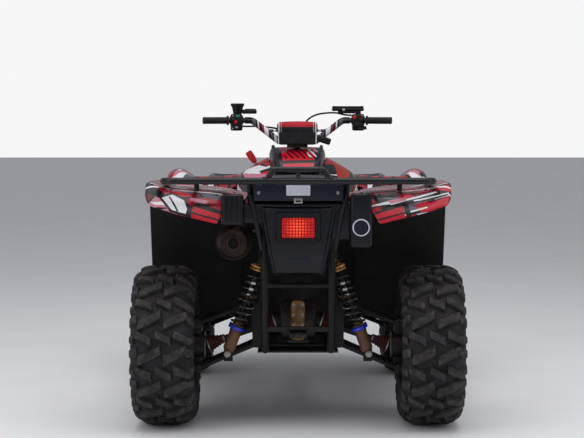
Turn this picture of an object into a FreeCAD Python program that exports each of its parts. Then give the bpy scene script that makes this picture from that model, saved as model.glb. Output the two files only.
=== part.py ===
import FreeCAD, Part
import math
import os

V = FreeCAD.Vector

# Quad bike. Millimetres, +Z up, the front faces -Y and the rider's left is +X.
# The origin is on the ground under the middle of the whole vehicle.

# Driving dimensions
wheelbase = 1250.0
rear_overhang = 385.0          # rear axle to the rearmost edge of the rear rack
front_overhang = 430.0         # front axle to the foremost edge of the bumper
overall_length = wheelbase + rear_overhang + front_overhang
rear_axle_y = overall_length / 2 - rear_overhang
front_axle_y = rear_axle_y - wheelbase
rear_rack_end_y = rear_axle_y + rear_overhang
front_end_y = front_axle_y - front_overhang

tyre_radius = 308.5
rear_tyre_width = 250.0
front_tyre_width = 205.0
rear_track_half = 509.0        # vehicle's middle to the middle of a rear tyre
front_track_half = 490.0
bead_radius = 152.0
bead_inset = 32.0              # a tyre's side to its bead
rim_flange_radius = 164.0
rim_wall = 4.0
bead_gap = 0.3                 # tyre to rim

seat_gap = 0.3                 # one bolted piece to the next
fit = 0.06                     # radial clearance of a pin in its bore
spindle_radius = 14.0

ground_clearance = 285.0       # underside of the skid plate
skid_thickness = 4.0
rail_radius = 16.0             # main frame tubes
rail_half_width = 125.0        # middle of the vehicle to a lower rail
lower_rail_z = ground_clearance + skid_thickness + rail_radius
upper_rail_z = 800.0
upper_rail_top = upper_rail_z + rail_radius + seat_gap
brace_radius = 11.0
stay_radius = 9.0

pivot_radius = 10.0            # arm pivot tubes on the frame
eye_radius = 17.0              # the eyes of the arms round them
arm_tube_radius = 12.0
arm_end_radius = 8.5
pivot_half_length = 72.0
eye_length = 28.0
pivot_eye_y = 38.0             # axle to the middle of an inner eye

panel = 4.0                    # wall of the moulded plastic covers
rack_tube_radius = 12.5
rack_half_width = 505.0
rack_z = 960.0                 # middle of the rear rack's tube at the back
rack_front_z = 938.0           # and at its front
rack_length = 442.5
front_rack_z = 895.0
bumper_radius = 16.0

# Steering: a straight column leaning back, drop arm at its foot
column_foot_y = front_axle_y + 74.5
column_foot_z = 470.0
bar_clamp_y = front_axle_y + 412.5
bar_clamp_z = 1070.0
column_radius = 12.5
drop_arm = 62.0
drop_arm_half = 18.0           # middle to a tie rod's inner pin
kingpin_x = 415.0
kingpin_radius = 8.0
steer_arm_inset = 24.0         # kingpin to the tie rod's outer pin, across
upper_ball_z = tyre_radius + 82.0
lower_ball_z = tyre_radius - 92.0
steer_arm = 100.0              # kingpin to the tie rod's outer pin
tie_rod_radius = 7.0

bar_radius = 11.0              # at the grips
bar_middle_radius = 14.3       # at the clamp and the risers
bar_end_x = 405.0
bar_end_y = bar_clamp_y + 78.0
bar_end_z = 1166.0
grip_length = 112.0
grip_radius = 15.0

hitch_top_z = 384.0
hitch_plate = 12.0
hitch_hole_radius = 9.5


def make_box(x0, x1, y0, y1, z0, z1):
    return Part.makeBox(x1 - x0, y1 - y0, z1 - z0, V(x0, y0, z0))


def rod(start, end, radius, end_radius=None):
    axis = end - start
    if end_radius is None:
        return Part.makeCylinder(radius, axis.Length, start, axis)
    return Part.makeCone(radius, end_radius, axis.Length, start, axis)


def ring(start, end, outer, inner):
    return rod(start, end, outer).cut(rod(start, end, inner))


def fuse(shapes):
    return shapes[0].multiFuse(shapes[1:]) if len(shapes) > 1 else shapes[0]


def mirrored(shape):
    return shape.mirror(V(0, 0, 0), V(1, 0, 0))


def pair(shape):
    """The piece and its mirror image on the other side of the vehicle."""
    return Part.makeCompound([shape, mirrored(shape)])


def write(node, shape):
    shape.exportStep("parts/" + node + ".step")


def bent_tube(points, bend, radius):
    """A tube along straight runs joined by arcs of one bend radius."""
    edges = []
    start = points[0]
    for before, corner, after in zip(points, points[1:], points[2:]):
        to_before = (before - corner).normalize()
        to_after = (after - corner).normalize()
        half_turn = (math.pi - to_before.getAngle(to_after)) / 2
        reach = bend * math.tan(half_turn)
        first = corner + to_before * reach
        last = corner + to_after * reach
        inward = (to_before + to_after).normalize()
        depth = bend / math.cos(half_turn) - bend
        edges.append(Part.LineSegment(start, first).toShape())
        edges.append(Part.Arc(first, corner + inward * depth, last).toShape())
        start = last
    edges.append(Part.LineSegment(start, points[-1]).toShape())
    path = Part.Wire(edges)
    section = Part.Wire([Part.makeCircle(radius, points[0], points[1] - points[0])])
    return path.makePipeShell([section], True, False)


def offset_line(points, wall):
    """The same open outline moved sideways by the wall, to its right hand."""
    normals = []
    for (a0, b0), (a1, b1) in zip(points, points[1:]):
        run = math.hypot(a1 - a0, b1 - b0)
        normals.append(((b1 - b0) / run, (a0 - a1) / run))
    moved = []
    for (a, b), n0, n1 in zip(points, normals[:1] + normals, normals + normals[-1:]):
        scale = wall / (1 + n0[0] * n1[0] + n0[1] * n1[1])
        moved.append((a + (n0[0] + n1[0]) * scale, b + (n0[1] + n1[1]) * scale))
    return moved


def polygon(points):
    return Part.makePolygon(points + [points[0]])


def prism_along_x(profile, x0, x1):
    """A closed (y, z) outline extruded from x0 to x1."""
    return Part.Face(polygon([V(x0, y, z) for y, z in profile])).extrude(V(x1 - x0, 0, 0))


def prism_along_y(outline, y0, y1):
    """A closed (x, z) outline extruded from y0 to y1."""
    return Part.Face(polygon([V(x, y0, z) for x, z in outline])).extrude(V(0, y1 - y0, 0))


def shell_across(sections, wall):
    """A moulded cover from cross-sections (y, [(x, z), ...]); the wall lies under the outline."""
    wires = []
    for y, outline in sections:
        inner = offset_line(outline, wall)
        loop = outline + inner[::-1]
        wires.append(polygon([V(x, y, z) for x, z in loop]))
    return Part.makeLoft(wires, True, True)


def placed(rows, start_y):
    """A table of sections whose first column, a distance behind start_y, becomes y."""
    return tuple((start_y + row[0],) + tuple(row[1:]) for row in rows)


def between(table, place, column):
    """One column of a table at a place along its first column, read between two rows."""
    for low, high in zip(table, table[1:]):
        if low[0] <= place <= high[0]:
            share = (place - low[0]) / (high[0] - low[0])
            return low[column] + (high[column] - low[column]) * share
    return table[0][column] if place < table[0][0] else table[-1][column]


def sheet_along_x(profile, wall, x0, x1):
    """A bent sheet: its (y, z) profile, thickened, extruded from x0 to x1."""
    return prism_along_x(profile + offset_line(profile, wall)[::-1], x0, x1)


def flat(*corners):
    return Part.Face(polygon(list(corners)))


def faceted(faces):
    """A solid from flat faces that meet edge to edge."""
    shell = Part.makeShell(faces)
    shell.sewShape()
    solid = Part.makeSolid(shell)
    if solid.Volume < 0:
        solid.reverse()
    return solid


def skinned(loops):
    """A faceted solid through loops of points, closed at both ends."""
    faces = []
    for low, high in zip(loops, loops[1:]):
        count = len(low)
        for k in range(count):
            a, b, c, d = low[k], low[(k + 1) % count], high[(k + 1) % count], high[k]
            faces += [flat(a, b, c), flat(a, c, d)]
    for end in (loops[0], loops[-1]):
        faces += [flat(end[0], end[k], end[k + 1]) for k in range(1, len(end) - 1)]
    return faceted(faces)


column_foot = V(0, column_foot_y, column_foot_z)
column_head = V(0, bar_clamp_y, bar_clamp_z)
column_axis = (column_head - column_foot).normalize()
column_back = V(0, column_axis.z, -column_axis.y)      # square to the column, towards the rear


def on_column(z):
    return column_foot + column_axis * ((z - column_foot_z) / column_axis.z)


# Suspension points of the left side as (x, z): rear arms hinge on frame and hub carrier,
# front arms on the frame and on the kingpin.
lower_pivot = (rail_half_width + 35, lower_rail_z + 15)
upper_pivot = (rail_half_width + 40, lower_rail_z + 165)
rear_lower_out = (385.0, tyre_radius - 85.5)
rear_upper_out = (385.0, tyre_radius + 90.5)
outer_eye_y = 48.0
rear_drive_z = lower_rail_z + 100
front_drive_z = lower_rail_z + 83
carrier_half_y = 26.0

# Spring-dampers of the left side: distance behind the axle, then foot and head as (x, z)
rear_shock_y = 120.0
rear_shock_foot = (268.0, tyre_radius - 15.5)
rear_shock_head = (rail_half_width + 11, 651.0)
front_shock_y = -96.0
front_shock_foot = (300.0, tyre_radius + 0.5)
front_shock_head = (rail_half_width + 65, 650.0)
shock_pin_radius = 6.0

# Places along the vehicle
engine_y = (front_axle_y + rear_axle_y) / 2 - 32.5
engine_half_length = 240.0
engine_front_y = engine_y - engine_half_length
engine_back_y = engine_y + engine_half_length
frame_front_y = front_axle_y - 150
frame_rear_y = rear_axle_y + 170
upright_y = frame_rear_y + 26
rear_rack_front_y = rear_rack_end_y - rack_length

# Console sections ahead of the seat: distance behind the front axle, half width and height of the
# top, half width and height of the foot
console_sections = placed((
    (267.5, 118.0, 1035.0, 124.0, 1000.0),
    (372.5, 117.0, 1051.0, 124.0, 1010.0),
    (472.5, 105.0, 1010.0, 112.0, 950.0),
    (528.5, 92.0, 960.0, 100.0, 880.0),
), front_axle_y)
console_front_y, console_back_y = console_sections[0][0], console_sections[-1][0]

seat_front_y = console_back_y + 4
seat_back_y = rear_axle_y - 87.5


def along_seat(share):
    return seat_front_y + share * (seat_back_y - seat_front_y)


# Rear fender sections, left side: distance behind the rear axle, then x and z of the inner edge,
# trough, crest and lip
rear_fender_sections = placed((
    (-402.5, 216.0, 826.0, 300.0, 850.0, 430.0, 850.0, 450.0, 800.0),
    (-247.5, 190.0, 880.0, 330.0, 915.0, 528.0, 930.0, 552.0, 860.0),
    (-47.5, 190.0, 890.0, 508.0, 922.0, 545.0, 950.0, 566.0, 885.0),
    (152.5, 190.0, 890.0, 508.0, 924.0, 545.0, 956.0, 566.0, 895.0),
    (282.5, 291.0, 890.0, 508.0, 920.0, 545.0, 952.0, 566.0, 900.0),
    (337.5, 291.0, 795.0, 440.0, 832.0, 530.0, 864.0, 546.0, 872.0),
), rear_axle_y)

# Side panel sections, left side: y, then x and z of the top edge, the shoulder and the foot.
# Ahead of the seat the top edge runs along the console's foot, behind it the panel goes on to the fender.
side_panel_back_y = rear_fender_sections[0][0] - 5
side_panel_sections = tuple(
    (y, foot_x + seat_gap, foot_z, shoulder_x, shoulder_z, foot[0], foot[1])
    for (y, _, _, foot_x, foot_z), (shoulder_x, shoulder_z), foot in zip(
        console_sections,
        ((262.0, 925.0), (255.0, 930.0), (234.0, 885.0), (220.0, 850.0)),
        ((270.0, 800.0), (262.0, 760.0), (240.0, 705.0), (228.0, 690.0)))
) + (
    (console_back_y + 0.3 * (side_panel_back_y - console_back_y), 128.0, 858.0, 212.0, 835.0, 222.0, 680.0),
    (side_panel_back_y, 158.0, 850.0, 210.0, 830.0, 222.0, 700.0),
)

# Front bodywork sections: distance behind the front axle, heights of the centre, of the trough's
# inner edge and of the trough, crest x and height, lip x and height
front_body_sections = placed((
    (-357.5, 800.0, 790.0, 790.0, 470.0, 800.0, 520.0, 740.0),
    (-277.5, 850.0, 846.0, 845.0, 520.0, 885.0, 585.0, 820.0),
    (-137.5, 868.0, 862.0, 858.0, 536.0, 935.0, 602.0, 858.0),
    (2.5, 872.0, 866.0, 860.0, 540.0, 948.0, 602.0, 866.0),
    (72.5, 880.0, 868.0, 862.0, 536.0, 938.0, 600.0, 856.0),
    (112.5, 925.0, 926.0, 922.0, 520.0, 905.0, 590.0, 830.0),
    (202.5, 965.0, 900.0, 860.0, 500.0, 860.0, 565.0, 790.0),
    (267.5 - seat_gap, 1000.0, 862.0, 815.0, 480.0, 820.0, 540.0, 740.0),
), front_axle_y)

# Footwells: the floor lies between the wheels, its walls rise towards the front body and the fender
footwell_z = 392.0
footwell_wall = 5.0
footwell_in_x = 228.0
footwell_out_x = 590.0
floor_front_y = front_axle_y + tyre_radius + 82
floor_back_y = rear_axle_y - tyre_radius - 47
footwell_profile = [(floor_front_y - 106, 690), (floor_front_y, footwell_z), (floor_back_y, footwell_z),
                    (floor_back_y + 38, 600), (floor_back_y + 112, 800), (floor_back_y + 132, 858)]


engine_tube_reach = 60.0       # a lower cross tube before and behind the engine
shock_plate_half_gap = 31.0
bearing_low_z = 520.0


def make_frame():
    """Tubular frame: a loop of tube on each side, uprights, cross tubes, pivots and brackets."""
    w = rail_half_width
    loop_bend = 60.0
    front_kink_z, front_brace_z, rear_foot_z = 470.0, 560.0, 400.0
    loop = [(upright_y, rear_foot_z), (frame_rear_y - 40, lower_rail_z), (frame_front_y, lower_rail_z),
            (frame_front_y - 40, front_kink_z), (frame_front_y - 30, 640), (front_axle_y + 60, upper_rail_z),
            (rear_rack_end_y - 90, upper_rail_z)]
    pieces = []
    for x in (w, -w):
        pieces.append(bent_tube([V(x, y, z) for y, z in loop], loop_bend, rail_radius))
        pieces.append(rod(V(x, upright_y, rear_foot_z - 20), V(x, upright_y, upper_rail_z), rail_radius - 1))
        pieces.append(rod(V(x, engine_back_y + 70, lower_rail_z), V(x, engine_back_y + 190, upper_rail_z),
                          rail_radius - 1))
    crossings = [(y, lower_rail_z) for y in (front_axle_y, engine_front_y - engine_tube_reach,
                                             engine_back_y + engine_tube_reach, rear_axle_y)]
    crossings += [(y, upper_rail_z) for y in (front_axle_y + 110, engine_front_y - 40, engine_back_y + 20,
                                              seat_back_y + 30, rear_rack_end_y - 130)]
    crossings += [(upright_y, hitch_top_z + seat_gap + brace_radius), (upright_y, front_brace_z),
                  (frame_front_y - 35, front_brace_z)]
    for y, z in crossings:
        pieces.append(rod(V(-w, y, z), V(w, y, z), brace_radius))
    return fuse(pieces + pivot_mounts() + shock_mounts() + column_bearings() + outriggers() + body_stays())


def outriggers():
    """Tubes that carry the footwells, from the lower rails out under each floor."""
    tubes = []
    radius = brace_radius - 1
    floor_tube_z = footwell_z - footwell_wall - seat_gap - radius
    for y in (floor_front_y + 62, floor_back_y - 60):
        path = [V(rail_half_width, y, lower_rail_z), V(205, y, lower_rail_z + 11), V(262, y, floor_tube_z),
                V(footwell_out_x - 40, y, floor_tube_z)]
        tube = bent_tube(path, 30, radius)
        tubes += [tube, mirrored(tube)]
    return tubes


def panel_inside_x(y, z):
    """Distance from the middle to the inner face of a side panel's lower wall."""
    shoulder_x, shoulder_z = between(side_panel_sections, y, 3), between(side_panel_sections, y, 4)
    foot_x, foot_z = between(side_panel_sections, y, 5), between(side_panel_sections, y, 6)
    return shoulder_x + (foot_x - shoulder_x) * (shoulder_z - z) / (shoulder_z - foot_z) - panel


def body_stays():
    """Posts under the front bodywork and stays behind the side panels."""
    stays = []
    post_y = front_axle_y
    post_foot = upper_rail_z - 50
    post_top = between(front_body_sections, post_y, 1) - panel - seat_gap - 0.5
    for side in (1, -1):
        x = side * rail_half_width
        stays.append(rod(V(x, post_y, post_foot), V(x, post_y, post_top), stay_radius))
        for y in (console_back_y - 126, along_seat(0.3)):
            reach = min(panel_inside_x(y + a, upper_rail_z + b)
                        for a in (-stay_radius, stay_radius) for b in (-stay_radius, stay_radius)) - seat_gap
            stays.append(rod(V(x, y, upper_rail_z), V(side * reach, y, upper_rail_z), stay_radius))
    return stays


def pivot_mounts():
    """A tube along Y at each arm's inner end, on plates that reach the frame."""
    mounts = []
    margin = 14.0
    half_plate = 4.0
    for side in (1, -1):
        lower = (side * lower_pivot[0], lower_pivot[1])
        upper = (side * upper_pivot[0], upper_pivot[1])
        corners = [(lower[0] + side * margin, lower[1] - margin), (upper[0] + side * margin, upper[1] + margin),
                   (upper[0] - side * 30, upper[1] + margin), (lower[0] - side * 24, lower[1] - margin)]
        for axle_y in (rear_axle_y, front_axle_y):
            for x, z in (lower, upper):
                mounts.append(rod(V(x, axle_y - pivot_half_length, z), V(x, axle_y + pivot_half_length, z),
                                  pivot_radius))
            for end in (-1, 1):
                y = axle_y + end * (pivot_half_length - 8)
                mounts.append(prism_along_y(corners, y - half_plate, y + half_plate))
                mounts.append(rod(V(upper[0] - side * 18, y, upper[1]),
                                  V(side * rail_half_width, y, upper_rail_z), brace_radius))
    return mounts


def shock_mounts():
    """Pins for the spring-dampers' heads, on plates down from the upper rails."""
    mounts = []
    margin, half_plate = 14.0, 3.0
    for side in (1, -1):
        for y, (x, z) in ((rear_axle_y + rear_shock_y, rear_shock_head),
                          (front_axle_y + front_shock_y, front_shock_head)):
            pin_half = shock_plate_half_gap + half_plate
            mounts.append(rod(V(side * x, y - pin_half, z), V(side * x, y + pin_half, z), shock_pin_radius))
            corners = [(side * (x + margin), z - margin), (side * (x + margin), z + 20),
                       (side * (rail_half_width + 6), upper_rail_z), (side * (rail_half_width - 8), upper_rail_z),
                       (side * (x - margin - 2), z - margin)]
            for end in (-1, 1):
                middle = y + end * shock_plate_half_gap
                mounts.append(prism_along_y(corners, middle - half_plate, middle + half_plate))
    return mounts


def column_bearings():
    """Two rings round the steering column, each on a cross tube."""
    bearings = []
    half_ring, wall = 14.0, 10.0
    for z, at_rails in ((bearing_low_z, False), (upper_rail_z, True)):
        middle = on_column(z)
        bearings.append(ring(middle - column_axis * half_ring, middle + column_axis * half_ring,
                             column_radius + wall, column_radius + fit))
        for side in (1, -1):
            inner = middle + V(side * (column_radius + wall - 4), 0, 0)
            if at_rails:
                outer = V(side * rail_half_width, middle.y, upper_rail_z)
            else:
                outer = V(side * (upper_pivot[0] - 20), front_axle_y + pivot_half_length - 8, upper_pivot[1])
            bearings.append(rod(inner, outer, brace_radius - 2))
    return bearings


def make_skid_plate():
    """Sheet under the lower rails, turned up at the front."""
    rise_z = 440.0
    top = ground_clearance + skid_thickness - seat_gap
    profile = [(frame_front_y - 62, rise_z), (frame_front_y - 22, top), (rear_axle_y + 60, top)]
    half = rail_half_width + 30
    return sheet_along_x(profile, skid_thickness, -half, half)


# Engine on the lower rails; heights are above its base
engine_base_z = lower_rail_z + rail_radius + seat_gap
engine_half_width = rail_half_width - 5
crankcase_height = 210.0
barrel_foot = V(0, engine_y - 50, engine_base_z + 200)
barrel_up = V(0, -0.20, 1).normalize()
barrel_length, barrel_radius = 150.0, 62.0
fin_count, fin_pitch, fin_thickness, fin_radius = 7, 18.0, 6.0, 78.0
head_length, head_radius = 69.0, 72.0
belt_cover_width, belt_wheel_radius, belt_z = 67.0, 112.0, 125.0
clutch_cover_radius, clutch_cover_width = 100.0, 52.0
generator_radius, generator_width = 70.0, 32.0
foot_length, foot_height, foot_half_width = 40.0, 16.0, 14.0
exhaust_port_y = engine_y + 2
exhaust_port_z = 700.0
exhaust_port_radius = 27.0
cover_root = 2.0               # how far a cover reaches into the crankcase


def make_engine():
    """Crankcase, tilted cylinder with fins, belt-drive cover on the left, clutch cover on the right."""
    w = engine_half_width
    case = make_box(-w, w, engine_front_y, engine_back_y, engine_base_z, engine_base_z + crankcase_height)
    pieces = [case, rod(barrel_foot, barrel_foot + barrel_up * barrel_length, barrel_radius)]
    for i in range(fin_count):
        low = barrel_foot + barrel_up * (20 + fin_pitch * i)
        pieces.append(rod(low, low + barrel_up * fin_thickness, fin_radius))
    head_foot = barrel_foot + barrel_up * (barrel_length - 4)
    pieces.append(rod(head_foot, head_foot + barrel_up * head_length, head_radius))
    pieces.append(rod(V(0, barrel_foot.y, exhaust_port_z), V(0, exhaust_port_y, exhaust_port_z),
                      exhaust_port_radius))
    belt_in, belt_out = w - cover_root, w - cover_root + belt_cover_width
    belt_front_y, belt_back_y = engine_y - 120, engine_y + 120
    for y in (belt_front_y, belt_back_y):
        pieces.append(rod(V(belt_in, y, engine_base_z + belt_z), V(belt_out, y, engine_base_z + belt_z),
                          belt_wheel_radius))
    pieces.append(make_box(belt_in, belt_out, belt_front_y, belt_back_y, engine_base_z + belt_z - 95,
                           engine_base_z + belt_z + 95))
    for y, z, radius, width in ((engine_y - 50, 115.0, clutch_cover_radius, clutch_cover_width),
                                (engine_y + 130, 105.0, generator_radius, generator_width)):
        start = V(-w + cover_root, y, engine_base_z + z)
        pieces.append(rod(start, start - V(width, 0, 0), radius))
    for x in (rail_half_width, -rail_half_width):
        for y in (engine_front_y + 30, engine_back_y - 50):
            pieces.append(make_box(x - foot_half_width, x + foot_half_width, y, y + foot_length, engine_base_z,
                                   engine_base_z + foot_height))
    return fuse(pieces)


# Silencer high on the left, behind the seat
silencer_x = rail_half_width + 115
silencer_z = 725.0
silencer_radius = 64.0
silencer_front_y = rear_axle_y - 87.5
silencer_back_y = rear_axle_y + 232.5
exhaust_pipe_radius = 19.0


def make_exhaust():
    """Pipe from the cylinder to the silencer, which ends in a short tip."""
    x, z = silencer_x, silencer_z
    turn_y = silencer_front_y - 76
    path = [V(0, exhaust_port_y + seat_gap, exhaust_port_z), V(0, exhaust_port_y + 68, exhaust_port_z),
            V(0, exhaust_port_y + 168, 645), V(30, turn_y - 94, 650), V(60, turn_y, z - 3), V(x - 25, turn_y, z),
            V(x, turn_y + 46, z)]
    pipe = bent_tube(path, 32, exhaust_pipe_radius)
    body = rod(V(x, silencer_front_y, z), V(x, silencer_back_y, z), silencer_radius)
    front = rod(V(x, silencer_front_y - 35, z), V(x, silencer_front_y, z), 36, silencer_radius)
    back = rod(V(x, silencer_back_y, z), V(x, silencer_back_y + 25, z), silencer_radius, 50)
    tip = ring(V(x, silencer_back_y + 20, z), V(x, silencer_back_y + 45, z), 22, 18)
    return fuse([pipe, body, front, back, tip])


# Seat sections: share of the seat's length, half width of the base, half width and height of the
# shoulder, height of the crown
seat_sections = (
    (0.0, 70.0, 82.0, 895.0, 915.0),
    (0.175, 105.0, 118.0, 880.0, 905.0),
    (0.43, 140.0, 150.0, 880.0, 905.0),
    (0.635, 148.0, 160.0, 905.0, 930.0),
    (0.78, 150.0, 162.0, 925.0, 952.0),
    (1.0, 140.0, 150.0, 920.0, 945.0),
)
seat_shoulder_drop = 12.0
seat_crown_inset = 22.0


def make_seat():
    wires = []
    for share, base, shoulder, shoulder_z, crown_z in seat_sections:
        half = [(0, upper_rail_top), (base, upper_rail_top), (shoulder, shoulder_z - seat_shoulder_drop),
                (shoulder - seat_crown_inset, crown_z - 6), (0, crown_z)]
        loop = half + [(-x, z) for x, z in half[-2:0:-1]]
        wires.append(polygon([V(x, along_seat(share), z) for x, z in loop]))
    return Part.makeLoft(wires, True, True)


column_slot_z = 1030.0
column_slot_radius = column_radius + 28


def make_console():
    """Cover between the front bodywork and the seat, with a round slot for the steering column."""
    edge_drop, edge_inset = 8.0, 14.0
    sections = []
    for y, top, top_z, foot, foot_z in console_sections:
        half = [(foot, foot_z), (top, top_z - edge_drop), (top - edge_inset, top_z)]
        sections.append((y, [(-x, z) for x, z in half] + half[::-1]))
    middle = on_column(column_slot_z)
    slot = rod(middle - column_axis * 90, middle + column_axis * 90, column_slot_radius)
    return shell_across(sections, panel).cut(slot)


lever_foot = V(166, console_back_y - 176, 952)
lever_head = V(208, lever_foot.y, 1016)
lever_radius = 6.0
lever_knob_radius = 12.0
lever_knob_length = 30.0


def make_side_panels():
    sections = []
    for y, x0, z0, x1, z1, x2, z2 in side_panel_sections:
        sections.append((y, [(x0, z0), (x1, z1), (x2, z2)]))
    panels = pair(shell_across(sections, panel))
    return panels.cut(rod(lever_foot, lever_head, lever_radius + seat_gap))


def make_gear_lever():
    along = (lever_head - lever_foot).normalize()
    stem = rod(lever_foot, lever_head, lever_radius)
    knob = rod(lever_head - along * 12, lever_head + along * (lever_knob_length - 12), lever_knob_radius)
    return fuse([stem, knob])


nose_half_width = 150.0
trough_inner_x = 290.0
arch_rise_width = 96.0         # from an arch's crest inwards to the trough
lip_inset, lip_rise = 12.0, 18.0


def make_front_body():
    """One moulded cover: nose, troughs and the arches over the front wheels."""
    sections = []
    for y, centre_z, inner_z, trough_z, crest_x, crest_z, lip_x, lip_z in front_body_sections:
        half = [(lip_x, lip_z), (lip_x - lip_inset, (crest_z + lip_z) / 2 + lip_rise), (crest_x, crest_z),
                (crest_x - arch_rise_width, trough_z), (trough_inner_x, inner_z), (nose_half_width, centre_z)]
        sections.append((y, [(-x, z) for x, z in half] + half[::-1]))
    return shell_across(sections, panel)


def make_rear_fenders():
    sections = []
    for y, x0, z0, x1, z1, x2, z2, x3, z3 in rear_fender_sections:
        sections.append((y, [(x0, z0), (x1, z1), (x2, z2), (x3, z3)]))
    return pair(shell_across(sections, panel))


floor_rib_count, floor_rib_pitch, floor_rib_width, floor_rib_height = 8, 55.0, 12.0, 9.0


def make_footwells():
    """A floor with a front and a rear wall on each side, and ribs across the floor."""
    pieces = [sheet_along_x(footwell_profile, footwell_wall, footwell_in_x, footwell_out_x)]
    middle = (floor_front_y + floor_back_y) / 2
    for i in range(floor_rib_count):
        y = middle + (i - (floor_rib_count - 1) / 2) * floor_rib_pitch - floor_rib_width / 2
        pieces.append(make_box(footwell_in_x + 40, footwell_out_x - 30, y, y + floor_rib_width, footwell_z - 1,
                               footwell_z + floor_rib_height))
    return pair(fuse(pieces))


rack_bar_places = (185.0, 275.0, 380.0)
rack_cross_places = (60.0, 200.0, 335.0)      # behind the front tube, posts under the first and the last
rack_bar_radius = rack_tube_radius - 3
rack_post_x = 180.0
rack_post_radius = rack_tube_radius - 5
rack_arch_z = 1014.0
rack_foot_thickness = 6.0


def rack_height(y):
    """Height of the rear rack's tubes, which slope up towards the back."""
    back = rear_rack_end_y - rack_tube_radius
    return rack_front_z + (rack_z - rack_front_z) * (y - rear_rack_front_y) / (back - rear_rack_front_y)


def fender_top(x, y):
    """Height of a rear fender between its inner edge and its trough."""
    inner_x, trough_x = between(rear_fender_sections, y, 1), between(rear_fender_sections, y, 3)
    inner_z, trough_z = between(rear_fender_sections, y, 2), between(rear_fender_sections, y, 4)
    return inner_z + (trough_z - inner_z) * (x - inner_x) / (trough_x - inner_x)


def make_rear_rack():
    """Outer loop of tube, lengthwise bars, cross bars, a raised arch at the back and four feet."""
    r = rack_tube_radius
    front = rear_rack_front_y
    back = rear_rack_end_y - r
    half = rack_half_width - r
    corner, loop_bend, arch_bend = 90.0, 45.0, 16.0
    path = [(0, front), (half - corner, front), (half, front + 110), (half, back), (0, back)]
    loop = bent_tube([V(x, y, rack_height(y)) for x, y in path], loop_bend, r)
    pieces = [loop, mirrored(loop)]
    for place in rack_cross_places:
        z = rack_height(front + place)
        pieces.append(rod(V(-half, front + place, z), V(half, front + place, z), rack_bar_radius))
    arch_foot, arch_top = 118.0, 92.0
    pieces.append(bent_tube([V(-arch_foot, back, rack_z), V(-arch_top, back, rack_arch_z - r),
                             V(arch_top, back, rack_arch_z - r), V(arch_foot, back, rack_z)], arch_bend, r - 2))
    pieces.append(rod(V(0, back, rack_z), V(0, back, rack_arch_z - r), r - 5))
    for side in (1, -1):
        for x in rack_bar_places:
            pieces.append(rod(V(side * x, front, rack_front_z), V(side * x, back, rack_z), rack_bar_radius))
        for place in (rack_cross_places[0], rack_cross_places[-1]):
            y = front + place
            pieces.append(rod(V(side * rack_post_x, y, rack_height(y)), V(side * rack_post_x, y, upper_rail_top + 2),
                              rack_post_radius))
            x0, x1 = sorted((side * (rail_half_width - 8), side * (rack_post_x + 9)))
            pieces.append(make_box(x0, x1, y - 12, y + 12, upper_rail_top, upper_rail_top + rack_foot_thickness))
        for y in (front + rack_cross_places[1], front + rack_cross_places[1] + 60):
            x = rack_bar_places[-1]
            spacer_foot = fender_top(x + rack_post_radius, y) + seat_gap
            pieces.append(rod(V(side * x, y, rack_height(y)), V(side * x, y, spacer_foot), rack_post_radius))
    return fuse(pieces)


def front_body_top(x, y):
    """Height of the front bodywork between its inner trough edge and its trough."""
    inner_z, trough_z = between(front_body_sections, y, 2), between(front_body_sections, y, 3)
    trough_x = between(front_body_sections, y, 4) - arch_rise_width
    return inner_z + (trough_z - inner_z) * (x - trough_inner_x) / (trough_x - trough_inner_x)


front_rack_half = 400.0
front_rack_back_y = front_axle_y + 42.5
front_rack_drop = 20.0
front_rack_leg_x = 340.0


def make_front_rack():
    """Outer loop of tube with lengthwise bars, cross bars and legs on the bodywork."""
    r = rack_tube_radius
    z, low_z = front_rack_z, front_rack_z - front_rack_drop
    back, front = front_rack_back_y, front_end_y + 60
    half = front_rack_half
    loop = bent_tube([V(0, back, z), V(half - 40, back, z), V(half, back - 90, z), V(half, front + 80, z),
                      V(half - 110, front, low_z), V(0, front, low_z)], 45, r)
    pieces = [loop, mirrored(loop)]
    for x in (120, 260, -120, -260):
        pieces.append(rod(V(x, back, z), V(x, front, low_z), rack_bar_radius))
    for y in (back - 130, back - 270):
        pieces.append(rod(V(-half, y, z), V(half, y, z), rack_bar_radius))
        leg_foot = max(front_body_top(front_rack_leg_x + a, y + b)
                       for a in (4 - r, r - 4) for b in (4 - r, r - 4)) + seat_gap
        for x in (front_rack_leg_x, -front_rack_leg_x):
            pieces.append(rod(V(x, y, z), V(x, y, leg_foot), r - 4))
    return fuse(pieces)


bumper_foot_z = 480.0
bumper_bar_z = 620.0
bumper_top_z = 790.0
bumper_half = 230.0


def make_front_bumper():
    """Guard of tube in front of the grille, with feet on the frame."""
    r = bumper_radius
    y = front_end_y + r
    foot_y = frame_front_y - 55.8
    outer = bent_tube([V(rail_half_width, foot_y, bumper_foot_z), V(rail_half_width, y + 60, bumper_foot_z),
                       V(150, y, 520), V(bumper_half, y, 600), V(bumper_half, y + 10, bumper_top_z - 50),
                       V(150, y + 10, bumper_top_z), V(0, y + 10, bumper_top_z)], 30, r)
    pieces = [outer, mirrored(outer)]
    pieces.append(rod(V(-bumper_half + 4, y, bumper_bar_z), V(bumper_half - 4, y, bumper_bar_z), r - 4))
    for x in (80, -80):
        pieces.append(rod(V(x, y + 4, bumper_bar_z), V(x, y + 10, bumper_top_z), r - 5))
    return fuse(pieces)


grille_y = front_axle_y - 335.5      # the nose panel's top edge
grille_wall = 6.0
grille_half = 500.0
slot_half, slot_height, slot_pitch, slot_low_z, slot_count = 170.0, 16.0, 34.0, 575.0, 6
lamp_in_x, lamp_out_x = 262.0, 436.0
lamp_low_z, lamp_high_z = 690.0, 772.0
lamp_depth = 78.0
lamp_round = 12.0


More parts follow.
